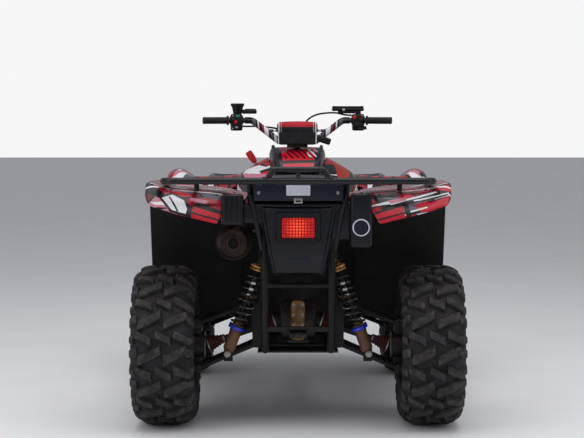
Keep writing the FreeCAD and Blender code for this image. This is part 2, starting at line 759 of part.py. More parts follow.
def make_front_grille():
    """Nose panel: lamp windows at its sides and slots in its middle."""
    profile = [(grille_y, 795.5), (grille_y - 18, 690), (grille_y + 20, 545)]
    sheet = sheet_along_x(profile, grille_wall, -grille_half, grille_half)
    y0, y1 = grille_y - 60, grille_y + 80
    cutters = []
    for side in (1, -1):
        corners = [(side * x, z) for x, z in ((506, 800), (476, 672), (240, 652), (196, 530), (506, 530))]
        cutters.append(prism_along_y(corners, y0, y1))
        x0, x1 = sorted((side * lamp_in_x, side * lamp_out_x))
        cutters.append(make_box(x0, x1, y0, y1, lamp_low_z, lamp_high_z))
    for i in range(slot_count):
        z = slot_low_z + i * slot_pitch
        cutters.append(make_box(-slot_half, slot_half, y0, y1, z, z + slot_height))
    return sheet.cut(fuse(cutters))


def make_headlights():
    front = grille_y - 20
    lamp = make_box(lamp_in_x + seat_gap, lamp_out_x - seat_gap, front, front + lamp_depth,
                    lamp_low_z + seat_gap, lamp_high_z - seat_gap)
    lamp = lamp.makeFillet(lamp_round, [e for e in lamp.Edges if e.BoundBox.YMax < front + 8])
    return pair(lamp)


# Storage compartment behind the seat and its hatch, which hinges at its top edge
box_half = 166.0
box_wall = 6.0
box_front_y = rear_axle_y - 37.5
box_back_y = rear_axle_y + 302.5
box_floor_z = 866.0
box_roof_z = 944.0             # at the back
box_front_roof_z = 915.0
hatch_thickness = 8.0
hatch_y = box_back_y + seat_gap
hatch_half = box_half - 2
hatch_top_z = box_roof_z + 1
hatch_foot_z = box_floor_z + 18
hinge_y = hatch_y + hatch_thickness / 2
hinge_z = hatch_top_z
hinge_x = 110.0
hinge_radius = 6.0
hinge_pin_radius = 3.0
hinge_half = 16.0              # half length of the hatch's barrel
hinge_lug = 7.0                # width of the box's lug at each end of a barrel
hinge_gap = 1.0
latch_half = 17.0
latch_depth = 5.0


def hinge_rod(x0, x1, radius):
    return rod(V(x0, hinge_y, hinge_z), V(x1, hinge_y, hinge_z), radius)


def make_storage_box():
    """Shallow compartment behind the seat, open to the rear behind its hatch."""
    w, t = box_half, box_wall
    slope = (box_roof_z - box_front_roof_z) / (box_back_y - box_front_y)
    outer = prism_along_x([(box_front_y, box_floor_z), (box_back_y, box_floor_z), (box_back_y, box_roof_z),
                           (box_front_y, box_front_roof_z)], -w, w)
    front, back = box_front_y + t, box_back_y + t
    roof = box_front_roof_z - t + slope * t
    inner = prism_along_x([(front, box_floor_z + t), (back, box_floor_z + t),
                           (back, roof + slope * (back - front)), (front, roof)], -w + t, w - t)
    feet = [make_box(side * rail_half_width - 13, side * rail_half_width + 13, y, y + 30, upper_rail_top,
                     box_floor_z + 2)
            for side in (1, -1) for y in (box_front_y + 90, box_back_y - 90)]
    reach = hinge_half + hinge_gap
    spaces = [hinge_rod(x - reach, x + reach, hinge_radius + hinge_gap) for x in (hinge_x, -hinge_x)]
    pieces = [outer.cut(fuse([inner] + spaces))] + feet
    for x in (hinge_x, -hinge_x):
        pieces.append(hinge_rod(x - reach - hinge_lug, x - reach, hinge_radius))
        pieces.append(hinge_rod(x + reach, x + reach + hinge_lug, hinge_radius))
        pieces.append(hinge_rod(x - reach - 1, x + reach + 1, hinge_pin_radius))
    return fuse(pieces)


def make_storage_hatch():
    """Lid of the compartment: plate with two hinge barrels and a latch at its foot."""
    back = hatch_y + hatch_thickness
    plate = make_box(-hatch_half, hatch_half, hatch_y, back, hatch_foot_z, hatch_top_z)
    space_radius = hinge_radius + hinge_gap
    reach = hinge_half + hinge_gap + hinge_lug + hinge_gap
    pieces = [plate.cut(fuse([hinge_rod(x - reach, x + reach, space_radius) for x in (hinge_x, -hinge_x)]))]
    bores = []
    for x in (hinge_x, -hinge_x):
        pieces.append(hinge_rod(x - hinge_half, x + hinge_half, hinge_radius))
        pieces.append(make_box(x - hinge_half, x + hinge_half, hatch_y + 2, back, hinge_z - space_radius - 2,
                               hinge_z))
        bores.append(hinge_rod(x - hinge_half - 1, x + hinge_half + 1, hinge_pin_radius + fit))
    pieces.append(make_box(-latch_half, latch_half, back - 1, back + latch_depth, hatch_foot_z - 10,
                           hatch_foot_z + 12))
    return fuse(pieces).cut(fuse(bores))


cover_half_top = box_half - 20
cover_half_foot = cover_half_top - 27
cover_taper_z = 709.0
cover_foot_z = 614.0
lens_half = 61.0
lens_low_z, lens_high_z = 747.0, 822.0
bezel_width = 22.0
bezel_depth = 9.0
web_thickness = 5.0
# Boxes beside the cover, as (inner x, outer x, low z, high z): a ribbed one on the left, a tall one on the right
left_box = (201.0, 283.0, 795.0, 909.0)
right_box = (191.0, 269.0, 712.0, 912.0)
side_box_front_y = box_back_y - 14
side_box_depth = 36.0
box_rib_count, box_rib_pitch, box_rib_height, box_rib_proud = 4, 25.0, 10.0, 6.0


def make_tail_cover():
    """Centre panel under the hatch, narrowing downwards, with the lamp's bezel and a box on each side."""
    back_y = box_back_y + 5
    profile = [(box_back_y - 25, box_floor_z - seat_gap), (back_y, 852), (back_y - 3, 700),
               (box_back_y - 25, cover_foot_z)]
    sheet = sheet_along_x(profile, panel, -cover_half_top, cover_half_top)
    outside = cover_half_top + 14
    trims = []
    for side in (1, -1):
        corners = [(side * outside, 870), (side * cover_half_top, 850), (side * cover_half_foot, cover_taper_z),
                   (side * (cover_half_foot - 18), cover_foot_z - 14), (side * outside, cover_foot_z - 14)]
        trims.append(prism_along_y(corners, box_back_y - 150, box_back_y + 50))
    bezel = make_box(-lens_half - bezel_width, lens_half + bezel_width, back_y - panel, back_y + bezel_depth,
                     lens_low_z - 12, lens_high_z + bezel_width)
    window = make_box(-lens_half, lens_half, back_y - 60, back_y + 60, lens_low_z, lens_high_z)
    pieces = [fuse([sheet.cut(fuse(trims)), bezel]).cut(window)]
    web_y = box_back_y - 4
    for side, (x0, x1, z0, z1) in ((1, left_box), (-1, right_box)):
        inner, outer = sorted((side * x0, side * x1))
        pieces.append(make_box(inner, outer, side_box_front_y, side_box_front_y + side_box_depth, z0, z1))
        near, far = sorted((side * (cover_half_foot + 11), side * (x0 + 4)))
        pieces.append(make_box(near, far, web_y, web_y + web_thickness, 796, 838))
    back = side_box_front_y + side_box_depth
    for i in range(box_rib_count):
        z = left_box[2] + 14 + i * box_rib_pitch
        pieces.append(make_box(left_box[0] + 6, left_box[1] - 6, back - 1, back + box_rib_proud, z,
                               z + box_rib_height))
    return fuse(pieces)


def make_tail_light():
    front, back = box_back_y - 25, box_back_y + 10
    lamp = make_box(-lens_half + seat_gap, lens_half - seat_gap, front, back, lens_low_z + seat_gap,
                    lens_high_z - seat_gap)
    return lamp.makeFillet(6, [e for e in lamp.Edges if e.BoundBox.YMin > back - 4])


def ring_body(profile, centre_x, axle_y, side):
    """A ring turned about the axle from (x, r) points; x grows outwards from the wheel's middle."""
    loop = [V(side * (centre_x + x), axle_y, tyre_radius + r) for x, r in profile]
    face = Part.Face(polygon(loop))
    return face.revolve(V(0, axle_y, tyre_radius), V(1, 0, 0), 360)


# Tread: rows of blocks round the carcass. Each row: shift round the tyre as a share of the pitch,
# middle and length of a block as shares of the tyre's half width, its width and its lean in degrees
tread_pitches = 14
tread_rows = (
    (0.0, 0.35, 0.63, 30.0, -21.0),
    (0.0, -0.40, 0.63, 30.0, -21.0),
    (0.5, 0.53, 0.42, 24.0, 21.0),
    (0.5, -0.53, 0.42, 24.0, 21.0),
)
lug_depth = 17.0
lug_root = 12.0                # how far a block reaches into the carcass
lug_taper = 0.88               # its top's length and width against its foot's
shoulder_share = 0.81          # half width of the carcass's crown against the tyre's


def crown(half_width):
    """The tread's outer surface: distance from the tyre's middle and radius."""
    return ((0.0, tyre_radius), (half_width * 0.52, tyre_radius), (half_width * 0.76, tyre_radius - 11),
            (half_width * 0.97, tyre_radius - 38))


def on_tyre(centre_x, axle_y, x, radius, angle):
    return V(centre_x + x, axle_y + radius * math.cos(angle), tyre_radius + radius * math.sin(angle))


def tread_block(half_width, centre_x, axle_y, row, turn):
    """One block: a flat-topped frustum that lies along the crown, turned by its lean."""
    shift, place, length, width, lean = row
    surface = crown(half_width)
    x = place * half_width
    reach = length * half_width / 2
    c, s = math.cos(math.radians(lean)), math.sin(math.radians(lean))
    top_reach = lug_taper * (reach * c + width / 2 * abs(s))
    near, far = (between(surface, abs(x) + end * top_reach, 1) for end in (-1, 1))
    angle = (turn + shift) * 2 * math.pi / tread_pitches
    outward = V(0, math.cos(angle), math.sin(angle))
    round_ = V(0, -math.sin(angle), math.cos(angle))
    across = (V(1, 0, 0) + outward * math.copysign((far - near) / (2 * top_reach), x)).normalize()
    inward = across.cross(round_)
    if inward.dot(outward) > 0:
        inward = inward * -1
    long_way, short_way = across * c + round_ * s, round_ * c - across * s
    centre = V(centre_x + x, axle_y, tyre_radius) + outward * ((near + far) / 2)
    foot, top = [
        [centre + inward * sink + long_way * (u * reach * size) + short_way * (v * width / 2 * size)
         for u, v in ((-1, -1), (1, -1), (1, 1), (-1, 1))]
        for sink, size in ((lug_depth + lug_root, 1.0), (0.0, lug_taper))]
    sides = [flat(foot[k], foot[(k + 1) % 4], top[(k + 1) % 4], top[k]) for k in range(4)]
    return faceted(sides + [flat(*foot), flat(*top)])


def make_tyre(half_width, centre_x, axle_y):
    """A faceted carcass with the main blocks of its tread; both sides turn the same way."""
    w = half_width
    bead = w - bead_inset
    facets = 2 * tread_pitches
    step = 2 * math.pi / facets
    bead_corner = (bead_radius + bead_gap) / math.cos(step / 2)
    half = [(bead, bead_corner), (bead, rim_flange_radius + 6), (w - 4, bead_radius + 80),
            (w * shoulder_share, tyre_radius - lug_depth)]
    profile = half + [(-x, r) for x, r in half[::-1]]
    loops = [[on_tyre(centre_x, axle_y, x, r, (i + 0.5) * step) for i in range(facets)] for x, r in profile]
    faces = []
    for low, high in zip(loops, loops[1:] + loops[:1]):
        for i in range(facets):
            j = (i + 1) % facets
            faces.append(flat(low[i], low[j], high[j], high[i]))
    blocks = [tread_block(w, centre_x, axle_y, row, turn) for turn in range(tread_pitches) for row in tread_rows]
    return fuse([faceted(faces)] + blocks)


def make_rim(half_width, centre_x, axle_y, side):
    """Barrel with flanges, dished disc near the outer side and a hub on the spindle."""
    b = half_width - bead_inset + bead_gap
    r = bead_radius
    t = rim_wall
    disc, hub_radius = 22.0, 42.0
    bore = spindle_radius + fit
    profile = [(-b, r), (b, r), (b, rim_flange_radius - 1), (b + t, rim_flange_radius), (b + t, r - t),
               (disc + 24, r - t), (disc + 8, hub_radius + 18), (disc + 8, bore), (disc - 50, bore),
               (disc - 50, hub_radius), (disc, hub_radius + 4), (disc + 14, r - t - 10), (disc + 10, r - t),
               (-b - t, r - t), (-b - t, rim_flange_radius), (-b, rim_flange_radius - 1)]
    return ring_body(profile, centre_x, axle_y, side)


def make_arm(axle_y, inner, outer, outer_y, end_shape):
    """One suspension arm, left side: two legs from the frame's eyes to the outer end."""
    pieces = []
    bores = []
    for end in (-1, 1):
        eye_y = axle_y + end * pivot_eye_y
        start = V(inner[0], eye_y - eye_length / 2, inner[1])
        stop = V(inner[0], eye_y + eye_length / 2, inner[1])
        pieces.append(rod(start, stop, eye_radius))
        bores.append(rod(start - V(0, 1, 0), stop + V(0, 1, 0), pivot_radius + fit))
        pieces.append(rod(V(inner[0], eye_y, inner[1]), V(outer[0], axle_y + end * outer_y, outer[1]),
                          arm_tube_radius, arm_end_radius))
    share = 0.45
    cross_x = inner[0] + (outer[0] - inner[0]) * share
    cross_z = inner[1] + (outer[1] - inner[1]) * share
    cross_y = pivot_eye_y + (outer_y - pivot_eye_y) * share
    pieces.append(rod(V(cross_x, axle_y - cross_y, cross_z), V(cross_x, axle_y + cross_y, cross_z),
                      arm_tube_radius - 3))
    end_pieces, end_bores = end_shape
    return fuse(pieces + end_pieces).cut(fuse(bores + end_bores))


carrier_pin_radius = 8.0
carrier_pin_half = 70.0
outer_eye_half = 18.0


def carrier_eyes(axle_y, outer):
    eyes, bores = [], []
    x, z = outer
    for end in (-1, 1):
        y = axle_y + end * outer_eye_y
        eyes.append(rod(V(x, y - outer_eye_half, z), V(x, y + outer_eye_half, z), eye_radius))
        bores.append(rod(V(x, y - 42, z), V(x, y + 42, z), carrier_pin_radius + fit))
    return eyes, bores


kingpin_eye_half = 12.0
kingpin_lug_radius = 16.0


def kingpin_eye(axle_y, z):
    low = V(kingpin_x, axle_y, z - kingpin_eye_half)
    high = V(kingpin_x, axle_y, z + kingpin_eye_half)
    lift = V(0, 0, 20)
    return [rod(low, high, kingpin_lug_radius + 1)], [rod(low - lift, high + lift, kingpin_radius + fit)]


def shock_foot_bracket(leg_y, pin_y, foot):
    """A plate up from the arm's leg with a pin along Y for a spring-damper's foot."""
    half, half_plate = 17.0, 7.0
    reach = 22 if pin_y > leg_y else -22
    plate = make_box(foot[0] - half, foot[0] + half, leg_y - half_plate, leg_y + half_plate, foot[1] - 42,
                     foot[1] + 14)
    return [plate, rod(V(foot[0], leg_y, foot[1]), V(foot[0], pin_y + reach, foot[1]), shock_pin_radius)]


def make_arms():
    """Lower and upper arm of each wheel, the lower ones with the spring-dampers' brackets."""
    eyes, bores = carrier_eyes(rear_axle_y, rear_lower_out)
    bracket = shock_foot_bracket(rear_axle_y + outer_eye_y, rear_axle_y + rear_shock_y, rear_shock_foot)
    rear_lower = make_arm(rear_axle_y, lower_pivot, rear_lower_out, outer_eye_y, (eyes + bracket, bores))
    rear_upper = make_arm(rear_axle_y, upper_pivot, rear_upper_out, outer_eye_y,
                          carrier_eyes(rear_axle_y, rear_upper_out))
    front_end_half = 6.0
    eyes, bores = kingpin_eye(front_axle_y, lower_ball_z)
    bracket = shock_foot_bracket(front_axle_y - 30, front_axle_y + front_shock_y, front_shock_foot)
    front_lower = make_arm(front_axle_y, lower_pivot, (kingpin_x, lower_ball_z - 4), front_end_half,
                           (eyes + bracket, bores))
    front_upper = make_arm(front_axle_y, upper_pivot, (kingpin_x, upper_ball_z), front_end_half,
                           kingpin_eye(front_axle_y, upper_ball_z))
    arms = [rear_lower, rear_upper, front_lower, front_upper]
    return Part.makeCompound(arms + [mirrored(arm) for arm in arms])


def make_rear_carriers():
    """Hub carrier, left side: a post between the arms, pins along Y and the wheel's spindle."""
    y, z = rear_axle_y, tyre_radius
    boss_in, boss_out, boss_radius = 360.0, 434.0, 52.0
    post = make_box(372, 424, y - carrier_half_y, y + carrier_half_y, rear_lower_out[1] - 6, rear_upper_out[1] + 6)
    boss = rod(V(boss_in, y, z), V(boss_out, y, z), boss_radius)
    pins = [rod(V(x, y - carrier_pin_half, pin_z), V(x, y + carrier_pin_half, pin_z), carrier_pin_radius)
            for x, pin_z in (rear_lower_out, rear_upper_out)]
    spindle = rod(V(boss_out - 4, y, z), V(rear_track_half + 38, y, z), spindle_radius)
    return pair(fuse([post, boss, spindle] + pins))


drop_plate = 10.0
drop_plate_low = 24.0          # the plate's underside, below the column's foot
rod_eye_half = 7.0
rod_eye_radius = 12.0
rod_eye_gap = 5.0
rod_pin_radius = 5.0
inner_pin = (column_foot + column_back * drop_arm
             - column_axis * (drop_plate_low + rod_eye_gap + rod_eye_half))
steer_pin_z = inner_pin.z
steer_pad_z = steer_pin_z - rod_eye_half - 7


def make_knuckle(side):
    """Front knuckle: a C-shaped post on the kingpins, the spindle and the steering arm."""
    x, y, z = kingpin_x, front_axle_y, tyre_radius
    cup_radius, cup_wall, lug_height, post_half = 46.0, 12.0, 22.0, 14.0
    low = lower_ball_z + kingpin_eye_half + seat_gap
    high = upper_ball_z - kingpin_eye_half - seat_gap
    lugs = [rod(V(x, y, low), V(x, y, low + lug_height), kingpin_lug_radius),
            rod(V(x, y, high - lug_height), V(x, y, high), kingpin_lug_radius)]
    pins = [rod(V(x, y, lower_ball_z - 14), V(x, y, low + 5), kingpin_radius),
            rod(V(x, y, high - 5), V(x, y, upper_ball_z + 14), kingpin_radius)]
    cup = ring(V(x - 22, y, z), V(x + 34, y, z), cup_radius, cup_radius - cup_wall)
    wall = rod(V(x + 22, y, z), V(x + 36, y, z), cup_radius)
    spindle = rod(V(x + 30, y, z), V(front_track_half + 38, y, z), spindle_radius)
    posts = [make_box(x - post_half + 2, x + post_half, y - post_half, y + post_half, low + 4, z - cup_radius + 8),
             make_box(x - post_half + 2, x + post_half, y - post_half, y + post_half, z + cup_radius - 8, high - 4)]
    pad_low = V(x - steer_arm_inset, y + steer_arm, steer_pad_z - 14)
    pad_high = V(x - steer_arm_inset, y + steer_arm, steer_pad_z)
    arm = rod(V(x + 4, y + 36, z + 12), pad_high - V(0, 0, 8), 9)
    shape = fuse(lugs + pins + posts + [cup, wall, spindle, arm, rod(pad_low, pad_high, 13)])
    return shape if side > 0 else mirrored(shape)


def make_tie_rod(side):
    """Rod from the drop arm's pin to above the knuckle's steering arm."""
    inner = inner_pin + V(drop_arm_half, 0, 0)
    outer = V(kingpin_x - steer_arm_inset, front_axle_y + steer_arm, steer_pin_z)
    along = (outer - inner).normalize()
    lift = column_axis * rod_eye_half
    rise = V(0, 0, rod_eye_half)
    eyes = [rod(inner - lift, inner + lift, rod_eye_radius), rod(outer - rise, outer + rise, rod_eye_radius)]
    bore = rod(inner - lift * 2, inner + lift * 2, rod_pin_radius + fit)
    shape = fuse([rod(inner + along * 4, outer - along * 4, tie_rod_radius)] + eyes).cut(bore)
    return shape if side > 0 else mirrored(shape)


# Handlebar: straight at the clamp, a riser to each side, then a run out to the grips
bar_clamp_rise = 4.0
bar_points = (
    V(0, bar_clamp_y, bar_clamp_z + bar_clamp_rise), V(78, bar_clamp_y, bar_clamp_z + bar_clamp_rise),
    V(196, bar_clamp_y + 12, bar_end_z), V(bar_end_x, bar_end_y, bar_end_z),
)
bar_bend = 34.0
bar_taper_share = 0.14         # of the outer run, where the thick middle ends
cross_bar_half = 150.0
cross_bar_z = 1122.0
cross_bar_y = bar_clamp_y + 7
cross_bar_radius = 6.0
grip_axis = (bar_points[3] - bar_points[2]).normalize()


def make_column():
    """Steering column with the drop arm and its two pins at the foot and the bar clamp at the head."""
    base = column_foot - column_axis * drop_plate_low
    shaft = rod(base, column_head, column_radius)
    near, far = column_back * -16, column_back * (drop_arm + 12)
    near_half, far_half = V(column_radius + 6, 0, 0), V(drop_arm_half + 14, 0, 0)
    corners = [near - near_half, near + near_half, far + far_half, far - far_half]
    plate = Part.Face(polygon([base + c for c in corners])).extrude(column_axis * drop_plate)
    pins = []
    for side in (1, -1):
        middle = inner_pin + V(side * drop_arm_half, 0, 0)
        reach = rod_eye_half + 3
        pins.append(rod(middle - column_axis * reach, middle + column_axis * (reach + 4), rod_pin_radius))
    clamp = make_box(-45, 45, bar_clamp_y - 20, bar_clamp_y + 20, bar_clamp_z - 22, bar_clamp_z + 24)
    bar_z = bar_clamp_z + bar_clamp_rise
    bore = rod(V(-60, bar_clamp_y, bar_z), V(60, bar_clamp_y, bar_z), bar_middle_radius + fit)
    return fuse([shaft, plate, clamp] + pins).cut(bore)


def make_handlebar():
    """Tapered bar: thin along its whole run and thick over its clamp and risers, with a cross bar."""
    thick_end = bar_points[2] + (bar_points[3] - bar_points[2]) * bar_taper_share
    left = bent_tube(list(bar_points), bar_bend, bar_radius)
    thick = bent_tube(list(bar_points[:3]) + [thick_end], bar_bend, bar_middle_radius)
    cross = rod(V(-cross_bar_half, cross_bar_y, cross_bar_z), V(cross_bar_half, cross_bar_y, cross_bar_z),
                cross_bar_radius)
    return fuse([thick, mirrored(thick), left, mirrored(left), cross])


grip_flange, grip_flange_width = 6.0, 5.0


def make_grips():
    end = bar_points[-1]
    start = end - grip_axis * grip_length
    body = rod(start, end + grip_axis * 4, grip_radius)
    flange = rod(start, start + grip_axis * grip_flange_width, grip_radius + grip_flange)
    bore = rod(start - grip_axis, end + grip_axis * 0.3, bar_radius + fit)
    return pair(fuse([body, flange]).cut(bore))


block_half_x, block_half_y, block_down, block_up = 25.0, 24.0, 44.0, 28.0
control_centre = bar_points[-1] - grip_axis * (grip_length + block_half_x + 12)
lever_rod_radius = 6.0
left_cup_top_z = 1240.0
left_cup_radius = 24.0
# Fluid reservoir on the right: x towards the middle, then z
reservoir = (150.0, 288.0, 1206.0, 1228.0)
reservoir_half_y = 19.0


def make_controls():
    """Switch block and lever beside each grip, a tapered cup on the left and a flat reservoir on the right."""
    c = control_centre
    block = make_box(c.x - block_half_x, c.x + block_half_x, c.y - block_half_y, c.y + block_half_y,
                     c.z - block_down, c.z + block_up)
    bore = rod(c - grip_axis * 60, c + grip_axis * 60, bar_radius + fit)
    lever_start = c + V(0, -44, -4)
    lever_end = lever_start + grip_axis * 150 + V(0, -18, 0)
    lever = rod(lever_start, lever_end, lever_rod_radius)
    lug = rod(c + V(0, -16, -4), lever_start + V(0, -6, 0), 10)
    sides = fuse([block, lever, lug])
    top = c.z + block_up
    cup = rod(V(c.x - 4, c.y - 4, top - 2), V(c.x - 4, c.y - 4, left_cup_top_z), left_cup_radius - 6,
              left_cup_radius)
    x0, x1, z0, z1 = reservoir
    tank = make_box(-x1, -x0, c.y - 12 - reservoir_half_y, c.y - 12 + reservoir_half_y, z0, z1)
    neck = make_box(-c.x - 12, -c.x + 12, c.y - 14, c.y + 4, top - 2, z0 + 2)
    return Part.makeCompound([fuse([sides, cup]).cut(bore), fuse([mirrored(sides), tank, neck]).cut(mirrored(bore))])


pad_half = 91.0
pad_low_z, pad_high_z = 1104.0, 1162.0
pad_front, pad_back = 26.0, 32.0
flap_low_z = 1062.0
flap_front = 17.0


def make_bar_pad():
    """Cushion round the cross bar, with a flap that hangs behind the clamp."""
    y = cross_bar_y
    pad = make_box(-pad_half, pad_half, y - pad_front, y + pad_back, pad_low_z, pad_high_z)
    flap = make_box(-pad_half, pad_half, y + flap_front, y + pad_back, flap_low_z, pad_low_z + 22)
    bore = rod(V(-pad_half - 9, y, cross_bar_z), V(pad_half + 9, y, cross_bar_z), cross_bar_radius + seat_gap)
    return fuse([pad.makeFillet(12, pad.Edges), flap.makeFillet(5, flap.Edges)]).cut(bore)


cable_radius = 4.0
cable_bend = 24.0
cable_off_column = 22.0        # column's axis to the middle of a cable beside it
cable_end_z = 950.0


def make_cables():
    """Control cables from the switch blocks, ahead of the pad and down beside the column."""
    start_x = control_centre.x - block_half_x - seat_gap
    y = bar_clamp_y
    forward = column_back * -cable_off_column
    cables = []
    # points from the block to above the clamp: x, distance behind the clamp's middle, z
    for side, route in ((1, ((start_x, 12, 1140), (215, 12, 1140), (168, -32, 1140), (60, -50, 1128))),
                        (-1, ((start_x, 12, 1188), (207, 12, 1188), (165, -32, 1202), (60, -50, 1190),
                              (10, -42, 1120)))):
        points = [V(side * x, y + back, z) for x, back, z in route]
        for z in (bar_clamp_z - 5, cable_end_z):
            points.append(on_column(z) + forward + V(side * 10, 0, 0))
        cables.append(bent_tube(points, cable_bend, cable_radius))
    return Part.makeCompound(cables)


def make_drives():
    """Rear and front final-drive housings on the middle line."""
    cases = []
    for y, z, r, half in ((rear_axle_y, rear_drive_z, 78, 70), (front_axle_y, front_drive_z, 60, 60)):
        ball = rod(V(-half, y, z), V(half, y, z), r)
        foot = make_box(-40, 40, y - 16, y + 16, lower_rail_z + brace_radius + seat_gap, z - r + 20)
        cases.append(ball.makeFillet(14, ball.Edges[:1] + ball.Edges[-1:]).fuse(foot))
    return Part.makeCompound(cases)


shaft_radius = 11.0


def make_half_shafts():
    """Drive shafts with their boots, from each housing to its wheel's carrier."""
    shafts = []
    for y, z, inner_x, outer_x in ((rear_axle_y, rear_drive_z, 70 + seat_gap, 356),
                                   (front_axle_y, front_drive_z, 60 + seat_gap, kingpin_x - 44)):
        start = V(inner_x, y, z)
        end = V(outer_x, y, tyre_radius)
        along = (end - start).normalize()
        stub = rod(start, start + V(22, 0, 0), 30)
        boot_in = rod(start + V(18, 0, 0), start + V(18, 0, 0) + along * 70, 36, 15)
        boot_out = rod(end - along * 78, end - along * 8, 15, 34)
        shaft = rod(start + V(10, 0, 0), end - along * 4, shaft_radius)
        shafts.append(fuse([stub, boot_in, boot_out, shaft]))
    return Part.makeCompound(shafts + [mirrored(s) for s in shafts])


shock_lines = (
    (rear_axle_y + rear_shock_y, rear_shock_foot, rear_shock_head),
    (front_axle_y + front_shock_y, front_shock_foot, front_shock_head),
)
collar_place, collar_width, collar_radius = 60.0, 8.0, 33.0
cap_place, cap_width = 36.0, 10.0
damper_radius, damper_length, damper_rod_radius = 22.0, 130.0, 9.0
shock_eye_half, shock_eye_radius = 16.0, 15.0


def shock_line(row):
    y, foot, head = row
    low, high = V(foot[0], y, foot[1]), V(head[0], y, head[1])
    return low, high, (high - low).normalize()


def make_dampers():
    """Damper bodies with their rods and eyes, inside the springs."""
    dampers = []
    for row in shock_lines:
        low, high, along = shock_line(row)
        body = rod(low + along * 6, low + along * damper_length, damper_radius)
        shaft = rod(low + along * (damper_length - 10), high - along * 6, damper_rod_radius)
        collar = rod(low + along * collar_place, low + along * (collar_place + collar_width), collar_radius)
        cap = rod(high - along * cap_place, high - along * (cap_place - cap_width), collar_radius)
        half = V(0, shock_eye_half, 0)
        eyes = [rod(p - half, p + half, shock_eye_radius) for p in (low, high)]
        bores = [rod(p - half * 2, p + half * 2, shock_pin_radius + fit) for p in (low, high)]
        dampers.append(fuse([body, shaft, collar, cap] + eyes).cut(fuse(bores)))
    return Part.makeCompound(dampers + [mirrored(d) for d in dampers])


coil_radius = 28.5
coil_wire = 4.0
coil_turns = 6.5
coil_steps = 10                # straight lengths in a turn
wire_sides = 5


def make_springs():
    """Coil springs between each damper's collar and cap."""
    springs = []
    for row in shock_lines:
        low, high, along = shock_line(row)
        low = low + along * (collar_place + collar_width + seat_gap + coil_wire)
        high = high - along * (cap_place + seat_gap + coil_wire)
        across = along.cross(V(0, 1, 0)).normalize()
        beside = along.cross(across)
        steps = round(coil_turns * coil_steps)
        loops = []
        for i in range(steps + 1):
            angle = 2 * math.pi * i / coil_steps
            out = across * math.cos(angle) + beside * math.sin(angle)
            centre = low + (high - low) * (i / steps) + out * coil_radius
            corners = [2 * math.pi * k / wire_sides for k in range(wire_sides)]
            loops.append([centre + out * (coil_wire * math.cos(b)) + along * (coil_wire * math.sin(b))
                          for b in corners])
        springs.append(skinned(loops))
    return Part.makeCompound(springs + [mirrored(s) for s in springs])


def make_tow_hitch():
    """Tongue with a vertical hole for a trailer's pin."""
    half = 32.0
    hole_y = rear_axle_y + 240
    tongue = make_box(-half, half, frame_rear_y + 6, hole_y + 30, hitch_top_z - hitch_plate, hitch_top_z)
    hole = rod(V(0, hole_y, hitch_top_z - 2 * hitch_plate), V(0, hole_y, hitch_top_z + hitch_plate),
               hitch_hole_radius)
    return tongue.cut(hole)


def main():
    os.makedirs("parts", exist_ok=True)
    for node, make in (
            ("frame", make_frame), ("skid_plate", make_skid_plate), ("engine", make_engine),
            ("exhaust", make_exhaust), ("seat", make_seat), ("console", make_console),
            ("side_panels", make_side_panels), ("front_body", make_front_body),
            ("rear_fenders", make_rear_fenders), ("footwells", make_footwells), ("rear_rack", make_rear_rack),
            ("front_rack", make_front_rack), ("front_bumper", make_front_bumper),
            ("front_grille", make_front_grille), ("headlights", make_headlights),
            ("storage_box", make_storage_box), ("storage_hatch", make_storage_hatch),
            ("tail_cover", make_tail_cover), ("tail_light", make_tail_light), ("suspension_arms", make_arms),
            ("rear_hub_carriers", make_rear_carriers), ("drive_housings", make_drives),
            ("half_shafts", make_half_shafts), ("dampers", make_dampers), ("springs", make_springs),
            ("gear_lever", make_gear_lever), ("tow_hitch", make_tow_hitch), ("steering_column", make_column),
            ("handlebar", make_handlebar), ("grips", make_grips), ("controls", make_controls),
            ("cables", make_cables), ("bar_pad", make_bar_pad)):
        write(node, make())
    for name, side in (("left", 1), ("right", -1)):
        write("knuckle_" + name, make_knuckle(side))
        write("tie_rod_" + name, make_tie_rod(side))
        for end, width, track, y in (("front", front_tyre_width, front_track_half, front_axle_y),
                                     ("rear", rear_tyre_width, rear_track_half, rear_axle_y)):
            write("tyre_" + end + "_" + name, make_tyre(width / 2, side * track, y))
            write("rim_" + end + "_" + name, make_rim(width / 2, track, y, side))


main()
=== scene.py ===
import bpy, bmesh, math
from mathutils import Matrix, Vector
from mathutils.bvhtree import BVHTree


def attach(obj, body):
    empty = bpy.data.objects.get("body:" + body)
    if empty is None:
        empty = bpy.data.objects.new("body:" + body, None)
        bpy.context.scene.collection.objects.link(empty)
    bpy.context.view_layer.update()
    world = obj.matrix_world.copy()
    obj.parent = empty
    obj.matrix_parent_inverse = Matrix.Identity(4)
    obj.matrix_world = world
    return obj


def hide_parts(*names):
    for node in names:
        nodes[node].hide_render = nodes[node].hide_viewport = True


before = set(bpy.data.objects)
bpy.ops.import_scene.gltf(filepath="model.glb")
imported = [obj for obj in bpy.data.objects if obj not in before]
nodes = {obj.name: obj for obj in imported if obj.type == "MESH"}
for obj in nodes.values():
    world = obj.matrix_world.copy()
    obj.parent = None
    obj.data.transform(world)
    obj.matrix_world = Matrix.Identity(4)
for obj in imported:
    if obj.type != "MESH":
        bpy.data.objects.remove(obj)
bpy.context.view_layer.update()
print("frame loaded:", len(nodes), "nodes")


# Finishes

def srgb(r, g, b):
    return tuple(((c / 255 + 0.055) / 1.055) ** 2.4 if c > 10 else c / 255 / 12.92
                 for c in (r, g, b)) + (1.0,)


